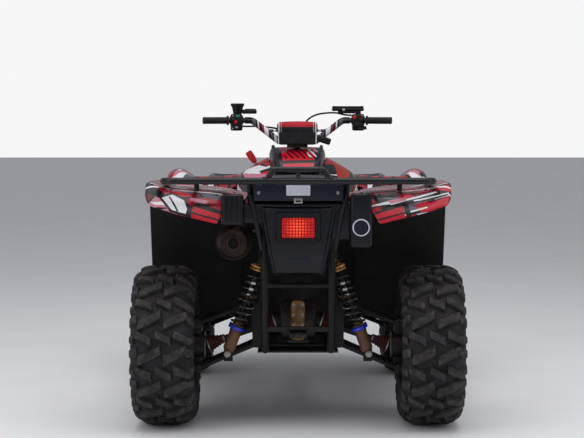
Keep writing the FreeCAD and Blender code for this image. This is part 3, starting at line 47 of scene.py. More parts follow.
class Graph:                                   # short way to add and join shader nodes
    def __init__(self, name):
        self.material = bpy.data.materials.new(name)
        self.material.use_nodes = True
        self.tree = self.material.node_tree
        self.shader = self.tree.nodes["Principled BSDF"]
        self.place = self.add("TexCoord").outputs["Object"]

    def add(self, kind, **settings):
        made = self.tree.nodes.new("ShaderNode" + kind)
        for key, value in settings.items():
            setattr(made, key, value)
        return made

    def feed(self, socket, value):
        if isinstance(value, bpy.types.NodeSocket):
            self.tree.links.new(value, socket)
        else:
            socket.default_value = value

    def math(self, operation, a, b=0.0, c=None):
        made = self.add("Math", operation=operation)
        self.feed(made.inputs[0], a)
        self.feed(made.inputs[1], b)
        if c is not None:
            self.feed(made.inputs[2], c)
        return made.outputs[0]

    def noise(self, scale, detail=4.0, rough=0.55):
        made = self.add("TexNoise")
        self.feed(made.inputs["Vector"], self.place)
        self.feed(made.inputs["Scale"], scale)
        self.feed(made.inputs["Detail"], detail)
        self.feed(made.inputs["Roughness"], rough)
        return made.outputs["Fac"]

    def band(self, value, low, high, out0=0.0, out1=1.0):
        made = self.add("MapRange")
        self.feed(made.inputs["Value"], value)
        for key, v in (("From Min", low), ("From Max", high), ("To Min", out0), ("To Max", out1)):
            self.feed(made.inputs[key], v)
        return made.outputs["Result"]

    def mix(self, share, a, b):
        made = self.add("Mix", data_type="RGBA")
        self.feed(made.inputs["Factor"], share)
        self.feed(made.inputs[6], a)
        self.feed(made.inputs[7], b)
        return made.outputs[2]

    def bump(self, height, depth, strength=1.0):
        made = self.add("Bump")
        self.feed(made.inputs["Height"], height)
        self.feed(made.inputs["Distance"], depth)
        self.feed(made.inputs["Strength"], strength)
        return made.outputs["Normal"]

    def surface(self, values):                 # sets inputs of the surface shader by their names
        for key, value in values.items():
            self.feed(self.shader.inputs[key], value)
        return self.material

    def upward(self):                          # 1 on faces that look up, 0 on walls
        split = self.add("SeparateXYZ")
        self.feed(split.inputs[0], self.add("NewGeometry").outputs["Normal"])
        return self.band(split.outputs["Z"], 0.25, 0.95)

    def edges(self, low=0.56, high=0.68):      # convex edges, for wear and for painted edge highlights; limits given high to low pick hollows instead
        return self.band(self.add("NewGeometry").outputs["Pointiness"], low, high)


def finish(name, colour, rough=0.5, metal=0.0, mottle=0.12, mottleScale=14.0, grain=900.0, grainDepth=0.0003,
           dust=0.0, dustColour=srgb(120, 104, 88), wearAndEdgeHighlight=0.0, wearAndHighlightColour=srgb(150, 148, 145), coat=0.0,
           sheen=0.0, roughSpread=0.1, rims=(0.56, 0.68), paintedHollowShade=0.0):
    g = Graph(name)
    cloud = g.noise(mottleScale, 6.0)
    darker = tuple(c * (1 - mottle * 2) for c in colour[:3]) + (1.0,)
    lighter = tuple(min(1.0, c * (1 + mottle * 1.4)) for c in colour[:3]) + (1.0,)
    paint = g.mix(g.band(cloud, 0.3, 0.7), darker, lighter)
    roughness = g.band(g.noise(mottleScale * 2.3, 5.0), 0.3, 0.7, max(0.02, rough - roughSpread),
                       rough + roughSpread)
    # lighter convex edges: wear on painted steel, painted highlights on the tyre's lug edges
    if wearAndEdgeHighlight:
        wornAndLitEdges = g.math("MULTIPLY", g.edges(*rims), g.math("MULTIPLY", g.band(g.noise(60.0), 0.4, 0.6), wearAndEdgeHighlight))
        paint = g.mix(wornAndLitEdges, paint, wearAndHighlightColour)
    if paintedHollowShade:                                 # painted shade: darker where the surface turns inwards
        paint = g.mix(g.math("MULTIPLY", g.edges(0.50, 0.44), paintedHollowShade), paint, srgb(6, 6, 7))
    if dust:
        film = g.math("MULTIPLY", g.math("ADD", g.upward(), 0.35), g.band(g.noise(9.0, 8.0, 0.7), 0.42, 0.75))
        film = g.math("MULTIPLY", film, dust)
        paint = g.mix(film, paint, dustColour)
        roughness = g.math("MAXIMUM", roughness, g.math("MULTIPLY", film, 0.9))
    if not metal:
        g.surface({"Specular IOR Level": 0.32})
    return g.surface({"Base Color": paint, "Roughness": roughness, "Metallic": metal, "Coat Weight": coat,
                      "Coat Roughness": 0.12, "Sheen Weight": sheen,
                      "Normal": g.bump(g.noise(grain, 3.0), grainDepth)})


graphicColours = {"red": srgb(160, 10, 38), "bright": srgb(188, 16, 40), "black": srgb(17, 17, 22),
                  "grey": srgb(92, 90, 100), "white": srgb(228, 228, 232), "pink": srgb(196, 120, 140),
                  "wine": srgb(104, 8, 30), "rust": srgb(160, 40, 18)}


def shard(g, across, along, corners):          # 1 inside a convex patch, corners in order
    inside = None
    n = len(corners)
    area = sum(corners[i][0] * corners[(i + 1) % n][1] - corners[(i + 1) % n][0] * corners[i][1]
               for i in range(n))
    turn = 1 if area > 0 else -1
    for (ax, ay), (bx, by) in zip(corners, corners[1:] + corners[:1]):
        nx, ny = -(by - ay) * turn, (bx - ax) * turn
        size = math.hypot(nx, ny)
        nx, ny = nx / size, ny / size
        d = g.math("MULTIPLY_ADD", across, nx, -(nx * ax + ny * ay))
        d = g.math("MULTIPLY_ADD", along, ny, d)
        inside = d if inside is None else g.math("MINIMUM", inside, d)
    return g.math("GREATER_THAN", inside, 0.0)


splinterShares = ((0.0, "red"), (0.34, "wine"), (0.47, "black"), (0.60, "bright"), (0.78, "grey"),
                  (0.84, "red"), (0.93, "pink"), (0.96, "white"))


def splinters(g, u, v, size, stretch, lean, shift):
    # long angular cells, each with a palette colour of its own, and the distance to their borders
    c, s = math.cos(math.radians(lean)), math.sin(math.radians(lean))
    narrow = stretch / size
    joined = g.add("CombineXYZ")
    g.feed(joined.inputs[0], g.math("MULTIPLY_ADD", u, c / size, g.math("MULTIPLY_ADD", v, s / size, shift)))
    g.feed(joined.inputs[1], g.math("MULTIPLY_ADD", u, -s * narrow, g.math("MULTIPLY", v, c * narrow)))
    cells = g.add("TexVoronoi", voronoi_dimensions="2D")
    borders = g.add("TexVoronoi", voronoi_dimensions="2D", feature="DISTANCE_TO_EDGE")
    for each in (cells, borders):
        g.feed(each.inputs["Vector"], joined.outputs[0])
        g.feed(each.inputs["Scale"], 1.0)
    pick = g.add("SeparateColor")
    g.feed(pick.inputs[0], cells.outputs["Color"])
    return pick.outputs[0], borders.outputs["Distance"]


def graphicFinish(name, base, across, along, patches, mirrored=True, rough=0.22, slashes=None,
                  shattered=None):
    # across and along are weights on x, y and z; patches are (colour, corners)
    g = Graph(name)
    split = g.add("SeparateXYZ")
    g.feed(split.inputs[0], g.place)
    x = g.math("ABSOLUTE", split.outputs["X"]) if mirrored else split.outputs["X"]
    warp = g.band(g.noise(7.0, 2.0), 0.0, 1.0, -0.006, 0.006)

    def measure(weights, x):
        total = warp
        for w, part in zip(weights, (x, split.outputs["Y"], split.outputs["Z"])):
            if w:
                total = g.math("MULTIPLY_ADD", part, w, total)
        return total
    u, v = measure(across, x), measure(along, x)
    paint = graphicColours[base]
    if shattered:
        size, stretch, lean, shift = shattered
        sided = measure(across, split.outputs["X"])
        pick, border = splinters(g, sided, v, size, stretch, lean, shift)
        ramp = g.add("ValToRGB")
        ramp.color_ramp.interpolation = "CONSTANT"
        ends = ramp.color_ramp.elements
        while len(ends) < len(splinterShares):
            ends.new(0.5)
        for end, (at, colour) in zip(ends, splinterShares):
            end.position = at
            end.color = graphicColours[colour]
        g.feed(ramp.inputs[0], pick)
        paint = g.mix(g.math("LESS_THAN", border, 0.035), ramp.outputs[0], graphicColours["black"])
        pick, border = splinters(g, sided, v, size * 0.62, stretch * 2.2, lean + 34, shift + 3.7)
        paint = g.mix(g.math("LESS_THAN", pick, 0.13), paint, graphicColours["black"])
        paint = g.mix(g.math("GREATER_THAN", pick, 0.955), paint, graphicColours["white"])
    for colour, corners, *side in patches:     # a third value of 1 or -1 keeps a patch to the left or right
        share = shard(g, u, v, corners)
        if side:
            onSide = g.math("GREATER_THAN", g.math("MULTIPLY", split.outputs["X"], side[0]), 0.0)
            share = g.math("MULTIPLY", share, onSide)
        paint = g.mix(share, paint, graphicColours[colour])
    for colour, corners, period, share, lean in slashes or ():
        lines = g.math("FRACT", g.math("DIVIDE", g.math("MULTIPLY_ADD", v, lean, u), period))
        lines = g.math("LESS_THAN", lines, share)
        paint = g.mix(g.math("MULTIPLY", lines, shard(g, u, v, corners)), paint, graphicColours[colour])
    film = g.math("MULTIPLY", g.band(g.noise(11.0, 8.0, 0.7), 0.5, 0.8), 0.07)
    paint = g.mix(film, paint, srgb(120, 104, 96))
    return g.surface({"Base Color": paint, "Coat Weight": 0.22, "Coat Roughness": 0.15,
                      "Specular IOR Level": 0.35, "Normal": g.bump(g.noise(320.0, 2.0), 0.0002, 0.4),
                      "Roughness": g.band(g.noise(30.0, 5.0), 0.3, 0.7, rough - 0.06, rough + 0.12)})


# red, green and blue up to 255, then what differs from plain paint
plainFinishes = {
    "blackPlastic": ((11, 11, 15), dict(rough=0.4, grain=1500, grainDepth=0.0004, dust=0.05)),
    "gloomPlastic": ((8, 8, 9), dict(rough=0.6, grain=1100, grainDepth=0.0005, dust=0.07)),
    "bluePlastic": ((18, 21, 38), dict(rough=0.34, grain=1300, grainDepth=0.0003, dust=0.04)),
    "framePaint": ((6, 6, 7), dict(rough=0.48, wearAndEdgeHighlight=0.15, dust=0.06, mottle=0.2)),
    "rackPaint": ((13, 14, 19), dict(rough=0.3, wearAndEdgeHighlight=0.2, dust=0.03, coat=0.2)),
    "skidAlloy": ((88, 84, 80), dict(rough=0.5, metal=0.8, mottle=0.25, dust=0.3)),
    "engineAlloy": ((70, 67, 66), dict(rough=0.5, metal=0.7, mottle=0.22, grain=600, dust=0.2)),
    "brassCase": ((128, 100, 64), dict(rough=0.4, metal=0.8, mottle=0.3, mottleScale=30, dust=0.15)),
    "castCase": ((30, 22, 20), dict(rough=0.5, metal=0.35, mottle=0.3, grain=500, dust=0.1)),
    # brown heat-tinted steel, made darker still as painted shade over the exhaust and silencer
    "shadedExhaustSteel": ((40, 27, 23), dict(rough=0.46, metal=0.55, mottle=0.3, mottleScale=9, dust=0.15)),
    "burntTip": ((22, 17, 15), dict(rough=0.7, metal=0.3, mottle=0.3)),
    "bootRubber": ((74, 30, 30), dict(rough=0.55, mottle=0.2, dust=0.15)),
    # the tyre's lighter lug edges are painted highlights
    "tyreRubber": ((30, 28, 31), dict(rough=0.66, mottle=0.3, mottleScale=26, grain=420, grainDepth=0.0012,
                                      dust=0.14,
                                      # painted shade: the tread's hollows are darkened
                                      dustColour=srgb(104, 92, 86), wearAndEdgeHighlight=0.42, paintedHollowShade=0.7,
                                      wearAndHighlightColour=srgb(124, 116, 112), rims=(0.535, 0.62))),
    "tailPlastic": ((10, 12, 22), dict(rough=0.34, grain=1500, grainDepth=0.0003, dust=0.02)),
    "rimPaint": ((62, 62, 66), dict(rough=0.38, metal=0.7, mottle=0.15, dust=0.2, wearAndEdgeHighlight=0.4)),
    "springPaint": ((20, 19, 20), dict(rough=0.28, mottle=0.15, coat=0.4)),
    "goldSteel": ((188, 142, 84), dict(rough=0.3, metal=0.75, mottle=0.2, mottleScale=60)),
    "blueRing": ((30, 48, 210), dict(rough=0.22, metal=0.2, mottle=0.12, coat=0.5)),
    "brownBody": ((96, 64, 42), dict(rough=0.42, metal=0.25, mottle=0.2, dust=0.1)),
    "darkSteel": ((46, 44, 44), dict(rough=0.35, metal=0.8, mottle=0.2)),
    "boltSteel": ((150, 148, 144), dict(rough=0.35, metal=0.95, mottle=0.15)),
    "gripRubber": ((30, 30, 34), dict(rough=0.7, grain=260, grainDepth=0.0012, mottle=0.12)),
    "leverRed": ((196, 18, 32), dict(rough=0.3, mottle=0.06, coat=0.5)),
    "padCloth": ((19, 19, 23), dict(rough=0.8, grain=1600, grainDepth=0.0008, sheen=0.2)),
    "padRed": ((178, 18, 42), dict(rough=0.7, grain=1600, grainDepth=0.0006, sheen=0.15, mottle=0.08)),
    "pipingWhite": ((212, 210, 208), dict(rough=0.6, mottle=0.06)),
    "seatVinyl": ((24, 27, 46), dict(rough=0.42, grain=520, grainDepth=0.0009, sheen=0.1, mottle=0.1)),
    "seatPiping": ((14, 14, 20), dict(rough=0.4, grain=900, mottle=0.1)),
    "barWhite": ((206, 208, 218), dict(rough=0.35, mottle=0.08, coat=0.3)),
    "buttonGreen": ((24, 140, 90), dict(rough=0.4)),
    "buttonRed": ((202, 30, 52), dict(rough=0.4)),
    "paleGrey": ((166, 170, 172), dict(rough=0.4, mottle=0.08)),
    "labelWhite": ((200, 202, 216), dict(rough=0.4, mottle=0.05)),
    "meltedBlack": ((8, 8, 9), dict(rough=0.6, mottle=0.1)),
}
finishes = {name: finish(name, srgb(*colour), **look) for name, (colour, look) in plainFinishes.items()}


def litLens():                                 # lamp glass that is brightest at its middle
    g = Graph("lensRed")
    away = g.add("VectorMath", operation="DISTANCE")
    g.feed(away.inputs[0], g.place)
    g.feed(away.inputs[1], (0.004, 0.957, 0.786))
    spread = g.band(away.outputs["Value"], 0.012, 0.05, 1.0, 0.0)
    heat = g.math("ADD", spread, g.band(g.noise(90.0), 0.3, 0.7, -0.15, 0.15))
    paint = g.mix(heat, srgb(186, 8, 14), srgb(255, 84, 40))
    split = g.add("SeparateXYZ")
    g.feed(split.inputs[0], g.place)
    for part, low, pitch in (("X", -0.0565, 0.0113), ("Z", 0.7513, 0.01107)):
        offset = g.math("SUBTRACT", split.outputs[part], low - 0.2 * 0.0113)
        share = g.math("FRACT", g.math("DIVIDE", offset, pitch))
        paint = g.mix(g.math("LESS_THAN", share, 0.3), paint, srgb(120, 4, 10))
    return g.surface({"Base Color": paint, "Emission Color": paint, "Emission Strength": 0.6,
                      "Roughness": 0.12, "Coat Weight": 0.8})


finishes["lensRed"] = litLens()


# Shapes that every piece is made from

def piece(name, mesh, look, body="root", stands=(), smooth=38, levels=0, wall=0.0,
          both=False):
    obj = bpy.data.objects.new(name, mesh)
    bpy.context.scene.collection.objects.link(obj)
    for each in (look if isinstance(look, (list, tuple)) else [look]):
        mesh.materials.append(finishes[each] if isinstance(each, str) else each)
    mesh.polygons.foreach_set("use_smooth", [True] * len(mesh.polygons))
    if smooth and not levels:
        mesh.set_sharp_from_angle(angle=math.radians(smooth))
    if both:
        mirror = obj.modifiers.new("bothSides", "MIRROR")
        mirror.use_axis[0] = True
        mirror.use_mirror_merge = False
    if wall:
        shell = obj.modifiers.new("wall", "SOLIDIFY")
        shell.thickness = wall
        shell.offset = -1
        shell.use_even_offset = True
    if levels:
        sub = obj.modifiers.new("smooth", "SUBSURF")
        sub.levels = sub.render_levels = levels
    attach(obj, body)
    if stands:
        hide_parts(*stands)
    return obj


def meshOf(name, verts, faces, parts=None):
    mesh = bpy.data.meshes.new(name)
    mesh.from_pydata([tuple(v) for v in verts], [], faces)
    mesh.update()
    work = bmesh.new()
    work.from_mesh(mesh)
    bmesh.ops.recalc_face_normals(work, faces=work.faces)
    work.to_mesh(mesh)
    work.free()
    if parts:
        mesh.polygons.foreach_set("material_index", parts)
    return mesh


class Builder:                                 # collects several solids into one mesh
    def __init__(self):
        self.verts, self.faces, self.parts = [], [], []

    def take(self, verts, faces, part=0):
        start = len(self.verts)
        self.verts += [Vector(v) for v in verts]
        self.faces += [[i + start for i in f] for f in faces]
        self.parts += [part] * len(faces)

    def lathe(self, *shape, part=0, **options):
        self.take(*lathed(*shape, **options), part=part)

    def box(self, *shape, part=0):
        self.take(*softBox(*shape), part=part)

    def tube(self, *shape, part=0, **options):
        self.take(*hose(*shape, **options), part=part)

    def bolt(self, *shape, part=0, **options):
        self.take(*bolt(*shape, **options), part=part)

    def mesh(self, name):
        return meshOf(name, self.verts, self.faces, self.parts)


def metres(value):                             # a table in millimetres, as metres
    if isinstance(value, (list, tuple)):
        return type(value)(metres(each) for each in value)
    return value / 1000


def around(count, shift=0.0):                  # angles of a full turn
    return [2 * math.pi * (k + shift) / count for k in range(count)]


def axisFrame(direction):
    z = Vector(direction).normalized()
    side = Vector((0, 0, 1)) if abs(z.z) < 0.9 else Vector((0, 1, 0))
    x = side.cross(z).normalized()
    return x, z.cross(x), z


def lathed(profile, start, direction, count=40, closed=False):
    # profile is (distance along the axis, radius)
    x, y, z = axisFrame(direction)
    start = Vector(start)
    verts, faces = [], []
    for along, r in profile:
        for a in around(count):
            verts.append(start + z * along + (x * math.cos(a) + y * math.sin(a)) * r)
    rows = len(profile)
    for j in range(rows if closed else rows - 1):
        k = (j + 1) % rows
        for i in range(count):
            n = (i + 1) % count
            faces.append([j * count + i, j * count + n, k * count + n, k * count + i])
    if not closed:
        if profile[0][1] > 1e-6:
            faces.append(list(range(count))[::-1])
        if profile[-1][1] > 1e-6:
            faces.append([(rows - 1) * count + i for i in range(count)])
    return verts, faces


def softBox(low, high, radius, steps=2):
    # a box with rounded edges and corners
    work = bmesh.new()
    made = bmesh.ops.create_cube(work, size=1.0)
    low, high = Vector(low), Vector(high)
    for v in made["verts"]:
        v.co = Vector(((v.co.x + 0.5) * (high.x - low.x) + low.x, (v.co.y + 0.5) * (high.y - low.y) + low.y,
                       (v.co.z + 0.5) * (high.z - low.z) + low.z))
    bmesh.ops.bevel(work, geom=work.edges[:], offset=radius, segments=steps, profile=0.5, affect="EDGES")
    verts = [v.co.copy() for v in work.verts]
    faces = [[v.index for v in f.verts] for f in work.faces]
    work.free()
    return verts, faces


def slab(outline, direction, depth, radius=0.0, steps=2):
    # a flat outline pushed along direction, with rounded rims
    work = bmesh.new()
    push = Vector(direction).normalized() * depth
    low = [work.verts.new(Vector(p)) for p in outline]
    face = work.faces.new(low)
    made = bmesh.ops.extrude_face_region(work, geom=[face])
    moved = [e for e in made["geom"] if isinstance(e, bmesh.types.BMVert)]
    bmesh.ops.translate(work, verts=moved, vec=push)
    bmesh.ops.recalc_face_normals(work, faces=work.faces)
    if radius:
        rims = [e for e in work.edges if abs((e.verts[1].co - e.verts[0].co).dot(push.normalized())) < 1e-5]
        bmesh.ops.bevel(work, geom=rims, offset=radius, segments=steps, profile=0.5, affect="EDGES",
                        clamp_overlap=True)
    work.verts.index_update()
    verts = [v.co.copy() for v in work.verts]
    faces = [[v.index for v in f.verts] for f in work.faces]
    work.free()
    return verts, faces


def plate(low, high, corner, steps=4):
    # 2-D rectangle with rounded corners
    return rounded([low, (high[0], low[1]), high, (low[0], high[1])], corner, steps)


def rounded(corners, radius, steps=4):
    # 2-D outline with its corners rounded
    out = []
    n = len(corners)
    for i in range(n):
        a, b, c = (Vector(corners[(i + k) % n]) for k in (-1, 0, 1))
        ab, cb = (a - b), (c - b)
        r = min(radius, ab.length * 0.49, cb.length * 0.49)
        p, q = b + ab.normalized() * r, b + cb.normalized() * r
        for k in range(steps + 1):
            t = k / steps
            out.append(p * (1 - t) ** 2 + b * 2 * t * (1 - t) + q * t * t)
    return out


def flow(points, per=6):
    # smooth line through points
    pts = [Vector(p) for p in points]
    n = len(pts)
    out = []
    for i in range(n - 1):
        p0 = pts[i - 1] if i > 0 else pts[0] * 2 - pts[1]
        p1, p2 = pts[i], pts[i + 1]
        p3 = pts[i + 2] if i + 2 < n else pts[-1] * 2 - pts[-2]
        for k in range(per):
            t = k / per
            out.append(0.5 * ((2 * p1) + (p2 - p0) * t + (2 * p0 - 5 * p1 + 4 * p2 - p3) * t * t
                              + (3 * p1 - p0 - 3 * p2 + p3) * t ** 3))
    out.append(pts[-1])
    return out


def hose(points, radius, count=10, closed=False, swell=None):
    # round section carried along points
    pts = [Vector(p) for p in points]
    n = len(pts)
    verts, faces = [], []
    side = None
    for i, p in enumerate(pts):
        ahead = pts[(i + 1) % n] if closed or i + 1 < n else p
        behind = pts[i - 1] if closed or i > 0 else p
        tangent = (ahead - behind).normalized()
        if side is None:
            side, _, _ = axisFrame(tangent)
        side = (side - tangent * side.dot(tangent)).normalized()
        up = tangent.cross(side)
        r = radius * (swell(i / max(1, n - 1)) if swell else 1.0)
        for a in around(count):
            verts.append(p + (side * math.cos(a) + up * math.sin(a)) * r)
    for j in range(n if closed else n - 1):
        k = (j + 1) % n
        for i in range(count):
            m = (i + 1) % count
            faces.append([j * count + i, j * count + m, k * count + m, k * count + i])
    if not closed:
        faces.append(list(range(count))[::-1])
        faces.append([(n - 1) * count + i for i in range(count)])
    return verts, faces


def gridFaces(rows, columns, wrap=False):
    faces = []
    for j in range(rows - 1):
        for i in range(columns if wrap else columns - 1):
            n = (i + 1) % columns
            faces.append([j * columns + i, j * columns + n, (j + 1) * columns + n, (j + 1) * columns + i])
    return faces


def bolt(centre, direction, radius=0.006, head=0.005, dish=True):
    r, h = radius, head
    profile = [(-0.001, r * 1.5), (0.0005, r * 1.5), (0.001, r * 1.02), (h * 0.8, r), (h, r * 0.82)]
    if dish:
        profile += [(h, r * 0.5), (h * 0.55, r * 0.45), (h * 0.5, 0.0001)]
    return lathed(profile, centre, direction, 6 if not dish else 14)


def flip(verts):
    return [Vector((-v[0], v[1], v[2])) for v in verts]


def bothSides(builder, verts, faces, part=0):
    builder.take(verts, faces, part)
    builder.take(flip(verts), [f[::-1] for f in faces], part)


# Wheels

tyreLook = {"pairs": 14, "lugDepth": 0.018, "longLug": (0.104, 0.045), "shortLug": (0.074, 0.038),
            "lean": 28.0, "radius": 0.3085, "carcassSteps": 84, "longAt": (0.045, -0.052),
            "shortAt": (0.069, -0.008, -0.079), "sideGap": 0.0043, "sunk": 0.004, "rimDrop": 0.0022}
# along, across
lugShares = ((-0.5, -0.455, -0.3, -0.1, 0.1, 0.3, 0.455, 0.5), (-0.5, -0.36, 0.0, 0.36, 0.5))
wheelPlaces = {"frontWidth": 0.205, "rearWidth": 0.250, "frontX": 0.490, "rearX": 0.509, "frontY": -0.6025,
               "rearY": 0.6475}


def tyrePiece(end, side):
    width = wheelPlaces[end + "Width"]
    centreX = wheelPlaces[end + "X"] * side
    axleY = wheelPlaces[end + "Y"]
    w, top, depth = width / 2, tyreLook["radius"], tyreLook["lugDepth"]
    half = [(0, top - depth), (w * 0.3, top - depth), (w - 0.062, top - depth - 0.001),
            (w - 0.032, top - depth - 0.013), (w - 0.013, top - 0.052), (w - 0.007, 0.24), (w - 0.009, 0.215),
            (w - 0.013, 0.207), (w - 0.012, 0.200), (w - 0.02, 0.186), (w - 0.03, 0.176), (w - 0.032, 0.166),
            (w - 0.032, 0.1525)]
    line = flow([(-x, r) for x, r in half[::-1]] + half[1:], 3)
    length = [0.0]
    for a, b in zip(line, line[1:]):
        length.append(length[-1] + (b - a).length)
    middle = length[-1] / 2

    def across(t):                             # point and outward normal at t metres from the crown's middle
        want = t + middle
        for i in range(len(line) - 1):
            if length[i + 1] >= want or i == len(line) - 2:
                share = (want - length[i]) / (length[i + 1] - length[i])
                run = (line[i + 1] - line[i]).normalized()
                return line[i].lerp(line[i + 1], share), Vector((-run.y, run.x))

    def onWheel(t, arc, lift):
        p, n = across(t)
        p = p + n * lift
        reach = w - tyreLook["sideGap"]
        p.x = max(-reach, min(reach, p.x))
        a = arc / top
        return Vector((centreX + p.x, axleY + p.y * math.cos(a), top + p.y * math.sin(a)))

    made = Builder()
    steps = tyreLook["carcassSteps"]
    rings = []
    for p in line:
        rings += [Vector((centreX + p.x, axleY + p.y * math.cos(a), top + p.y * math.sin(a)))
                  for a in around(steps)]
    made.take(rings, gridFaces(len(line), steps, wrap=True))

    def lug(tMid, arcMid, size, lean, lift):
        long, wide = size
        nl, nw = (len(shares) - 1 for shares in lugShares)
        verts = []
        c, s = math.cos(math.radians(lean)), math.sin(math.radians(lean))
        for j in range(nw + 1):
            for i in range(nl + 1):
                u, v = lugShares[0][i] * long, lugShares[1][j] * wide
                rim = i in (0, nl) or j in (0, nw)
                if rim:
                    u, v = u * 1.05, v * 1.16
                h = -tyreLook["sunk"] if rim else lift
                if not rim and (i in (1, nl - 1) or j in (1, nw - 1)):
                    h = lift - tyreLook["rimDrop"]
                verts.append(onWheel(tMid + u * c, arcMid + v + u * s, h))
        made.take(verts, gridFaces(nw + 1, nl + 1))

    pitch = 2 * math.pi * top / tyreLook["pairs"]
    k = w / 0.1325
    lean = tyreLook["lean"]
    for i in range(tyreLook["pairs"]):
        arc = i * pitch
        for t in tyreLook["longAt"]:
            lug(t * k, arc, (tyreLook["longLug"][0] * k, tyreLook["longLug"][1]), -lean, depth)
        for t in tyreLook["shortAt"]:
            lug(t * k, arc + pitch / 2, (tyreLook["shortLug"][0] * k, tyreLook["shortLug"][1]), lean, depth)
        for s in (1, -1):
            lug(s * (0.117 * k + 0.003), arc + 0.006, (0.056 * k, 0.044), -lean * 0.5 * s, depth * 0.8)
            lug(s * (0.131 * k + 0.006), arc + pitch / 2 - 0.004, (0.064 * k, 0.038), lean * 0.4 * s,
                depth * 0.7)
    name = "left" if side > 0 else "right"
    node = f"tyre_{end}_{name}"
    piece(f"{end}Tyre{name.title()}", made.mesh(node), "tyreRubber", f"wheel_{end}_{name}", (node,),
          smooth=30)


rimLook = {"windows": 10, "windowInner": 0.078, "windowOuter": 0.116, "nuts": 4, "nutCircle": 0.055}


def rimPiece(end, side):
    width = wheelPlaces[end + "Width"]
    cx = wheelPlaces[end + "X"] * side
    cy = wheelPlaces[end + "Y"]
    cz = tyreLook["radius"]
    b = width / 2 - 0.032
    made = Builder()
    outer = [(-b - 0.004, 0.150), (-b - 0.0045, 0.162), (-b - 0.002, 0.164), (-b, 0.161), (-b, 0.153),
             (-b + 0.022, 0.151), (-b + 0.04, 0.138), (b - 0.045, 0.138), (b - 0.024, 0.151), (b, 0.152),
             (b, 0.161), (b + 0.002, 0.164), (b + 0.0045, 0.162), (b + 0.004, 0.150), (b - 0.022, 0.147),
             (b - 0.043, 0.134), (-b + 0.038, 0.134), (-b + 0.02, 0.147)]
    made.lathe(outer, (cx, cy, cz), (side, 0, 0), 64, closed=True)
    steps = 120
    shape = [(0.034, 0.030), (0.046, 0.030), (0.062, 0.034), (0.074, 0.040), (0.078, 0.041), (0.090, 0.038),
             (0.104, 0.036), (0.116, 0.037), (0.120, 0.038), (0.131, 0.040), (0.1345, 0.036)]
    verts = []
    for r, x in shape:
        verts += [Vector((cx + side * x, cy + r * math.cos(a), cz + r * math.sin(a))) for a in around(steps)]
    faces = []
    per = steps // rimLook["windows"]
    for j, f in enumerate(gridFaces(len(shape), steps, wrap=True)):
        ringIndex, step = divmod(j, steps)
        r = (shape[ringIndex][0] + shape[ringIndex + 1][0]) / 2
        slot = step % per
        if rimLook["windowInner"] < r < rimLook["windowOuter"] and 3 <= slot < per - 1:
            continue
        faces.append(f)
    made.take(verts, faces)
    hub = [(0.028, 0.034), (0.046, 0.033), (0.052, 0.029), (0.054, 0.022), (0.055, 0.0001)]
    made.lathe(hub, (cx, cy, cz), (side, 0, 0), 32, part=1)
    back = [(-0.028, 0.014), (-0.028, 0.042), (0.02, 0.046), (0.032, 0.05)]
    made.lathe(back, (cx, cy, cz), (side, 0, 0), 32, part=1)
    for a in around(rimLook["nuts"], 0.5):
        r = rimLook["nutCircle"]
        spot = Vector((cx + side * 0.031, cy + r * math.cos(a), cz + r * math.sin(a)))
        made.lathe([(0, 0.011), (0.003, 0.0105), (0.004, 0.0085), (0.014, 0.0085), (0.016, 0.007),
                    (0.0165, 0.0001)], spot, (side, 0, 0), 6, part=2)
    name = "left" if side > 0 else "right"
    node = f"rim_{end}_{name}"
    obj = piece(f"{end}Rim{name.title()}", made.mesh(node), ["rimPaint", "castCase", "boltSteel"],
                f"wheel_{end}_{name}", (node,), smooth=35)
    wall = obj.modifiers.new("sheet", "SOLIDIFY")
    wall.thickness = 0.003
    wall.offset = -1


for end in ("front", "rear"):
    for side in (1, -1):
        tyrePiece(end, side)
        rimPiece(end, side)
print("wheels built")


# Bodywork

def skinRows(rows):                            # rows are (y, [(x, z), ...])
    return [(x, y, z) for y, line in rows for x, z in line], gridFaces(len(rows), len(rows[0][1]))


# millimetres, rear fender, left side: y, then x and z from inner edge to lip
fenderRows = metres([
    (245, [(216, 824), (250, 838), (300, 849), (370, 852), (420, 850), (441, 842), (450, 800)]),
    (300, [(205, 850), (240, 866), (315, 880), (410, 886), (476, 884), (500, 872), (507, 824)]),
    (400, [(190, 878), (240, 896), (330, 914), (430, 922), (520, 930), (545, 920), (552, 860)]),
    (500, [(190, 886), (240, 903), (345, 915), (460, 922), (532, 941), (554, 934), (560, 872)]),
    (600, [(190, 889), (240, 905), (350, 913), (480, 920), (540, 949), (561, 942), (566, 885)]),
    (700, [(190, 889), (240, 905), (350, 913), (483, 920), (541, 952), (562, 945), (566, 890)]),
    (800, [(190, 889), (240, 905), (350, 913), (485, 921), (541, 955), (562, 948), (566, 895)]),
    (900, [(192, 885), (242, 901), (350, 911), (486, 919), (541, 954), (562, 947), (566, 898)]),
    (930, [(205, 880), (252, 895), (352, 908), (486, 917), (541, 952), (562, 945), (566, 900)]),
    (946, [(240, 866), (280, 878), (365, 892), (482, 903), (538, 939), (560, 935), (564, 897)]),
    (966, [(286, 832), (315, 845), (385, 861), (470, 876), (534, 900), (553, 900), (558, 886)]),
    (985, [(291, 797), (320, 806), (378, 820), (450, 836), (528, 861), (541, 867), (546, 871)]),
])
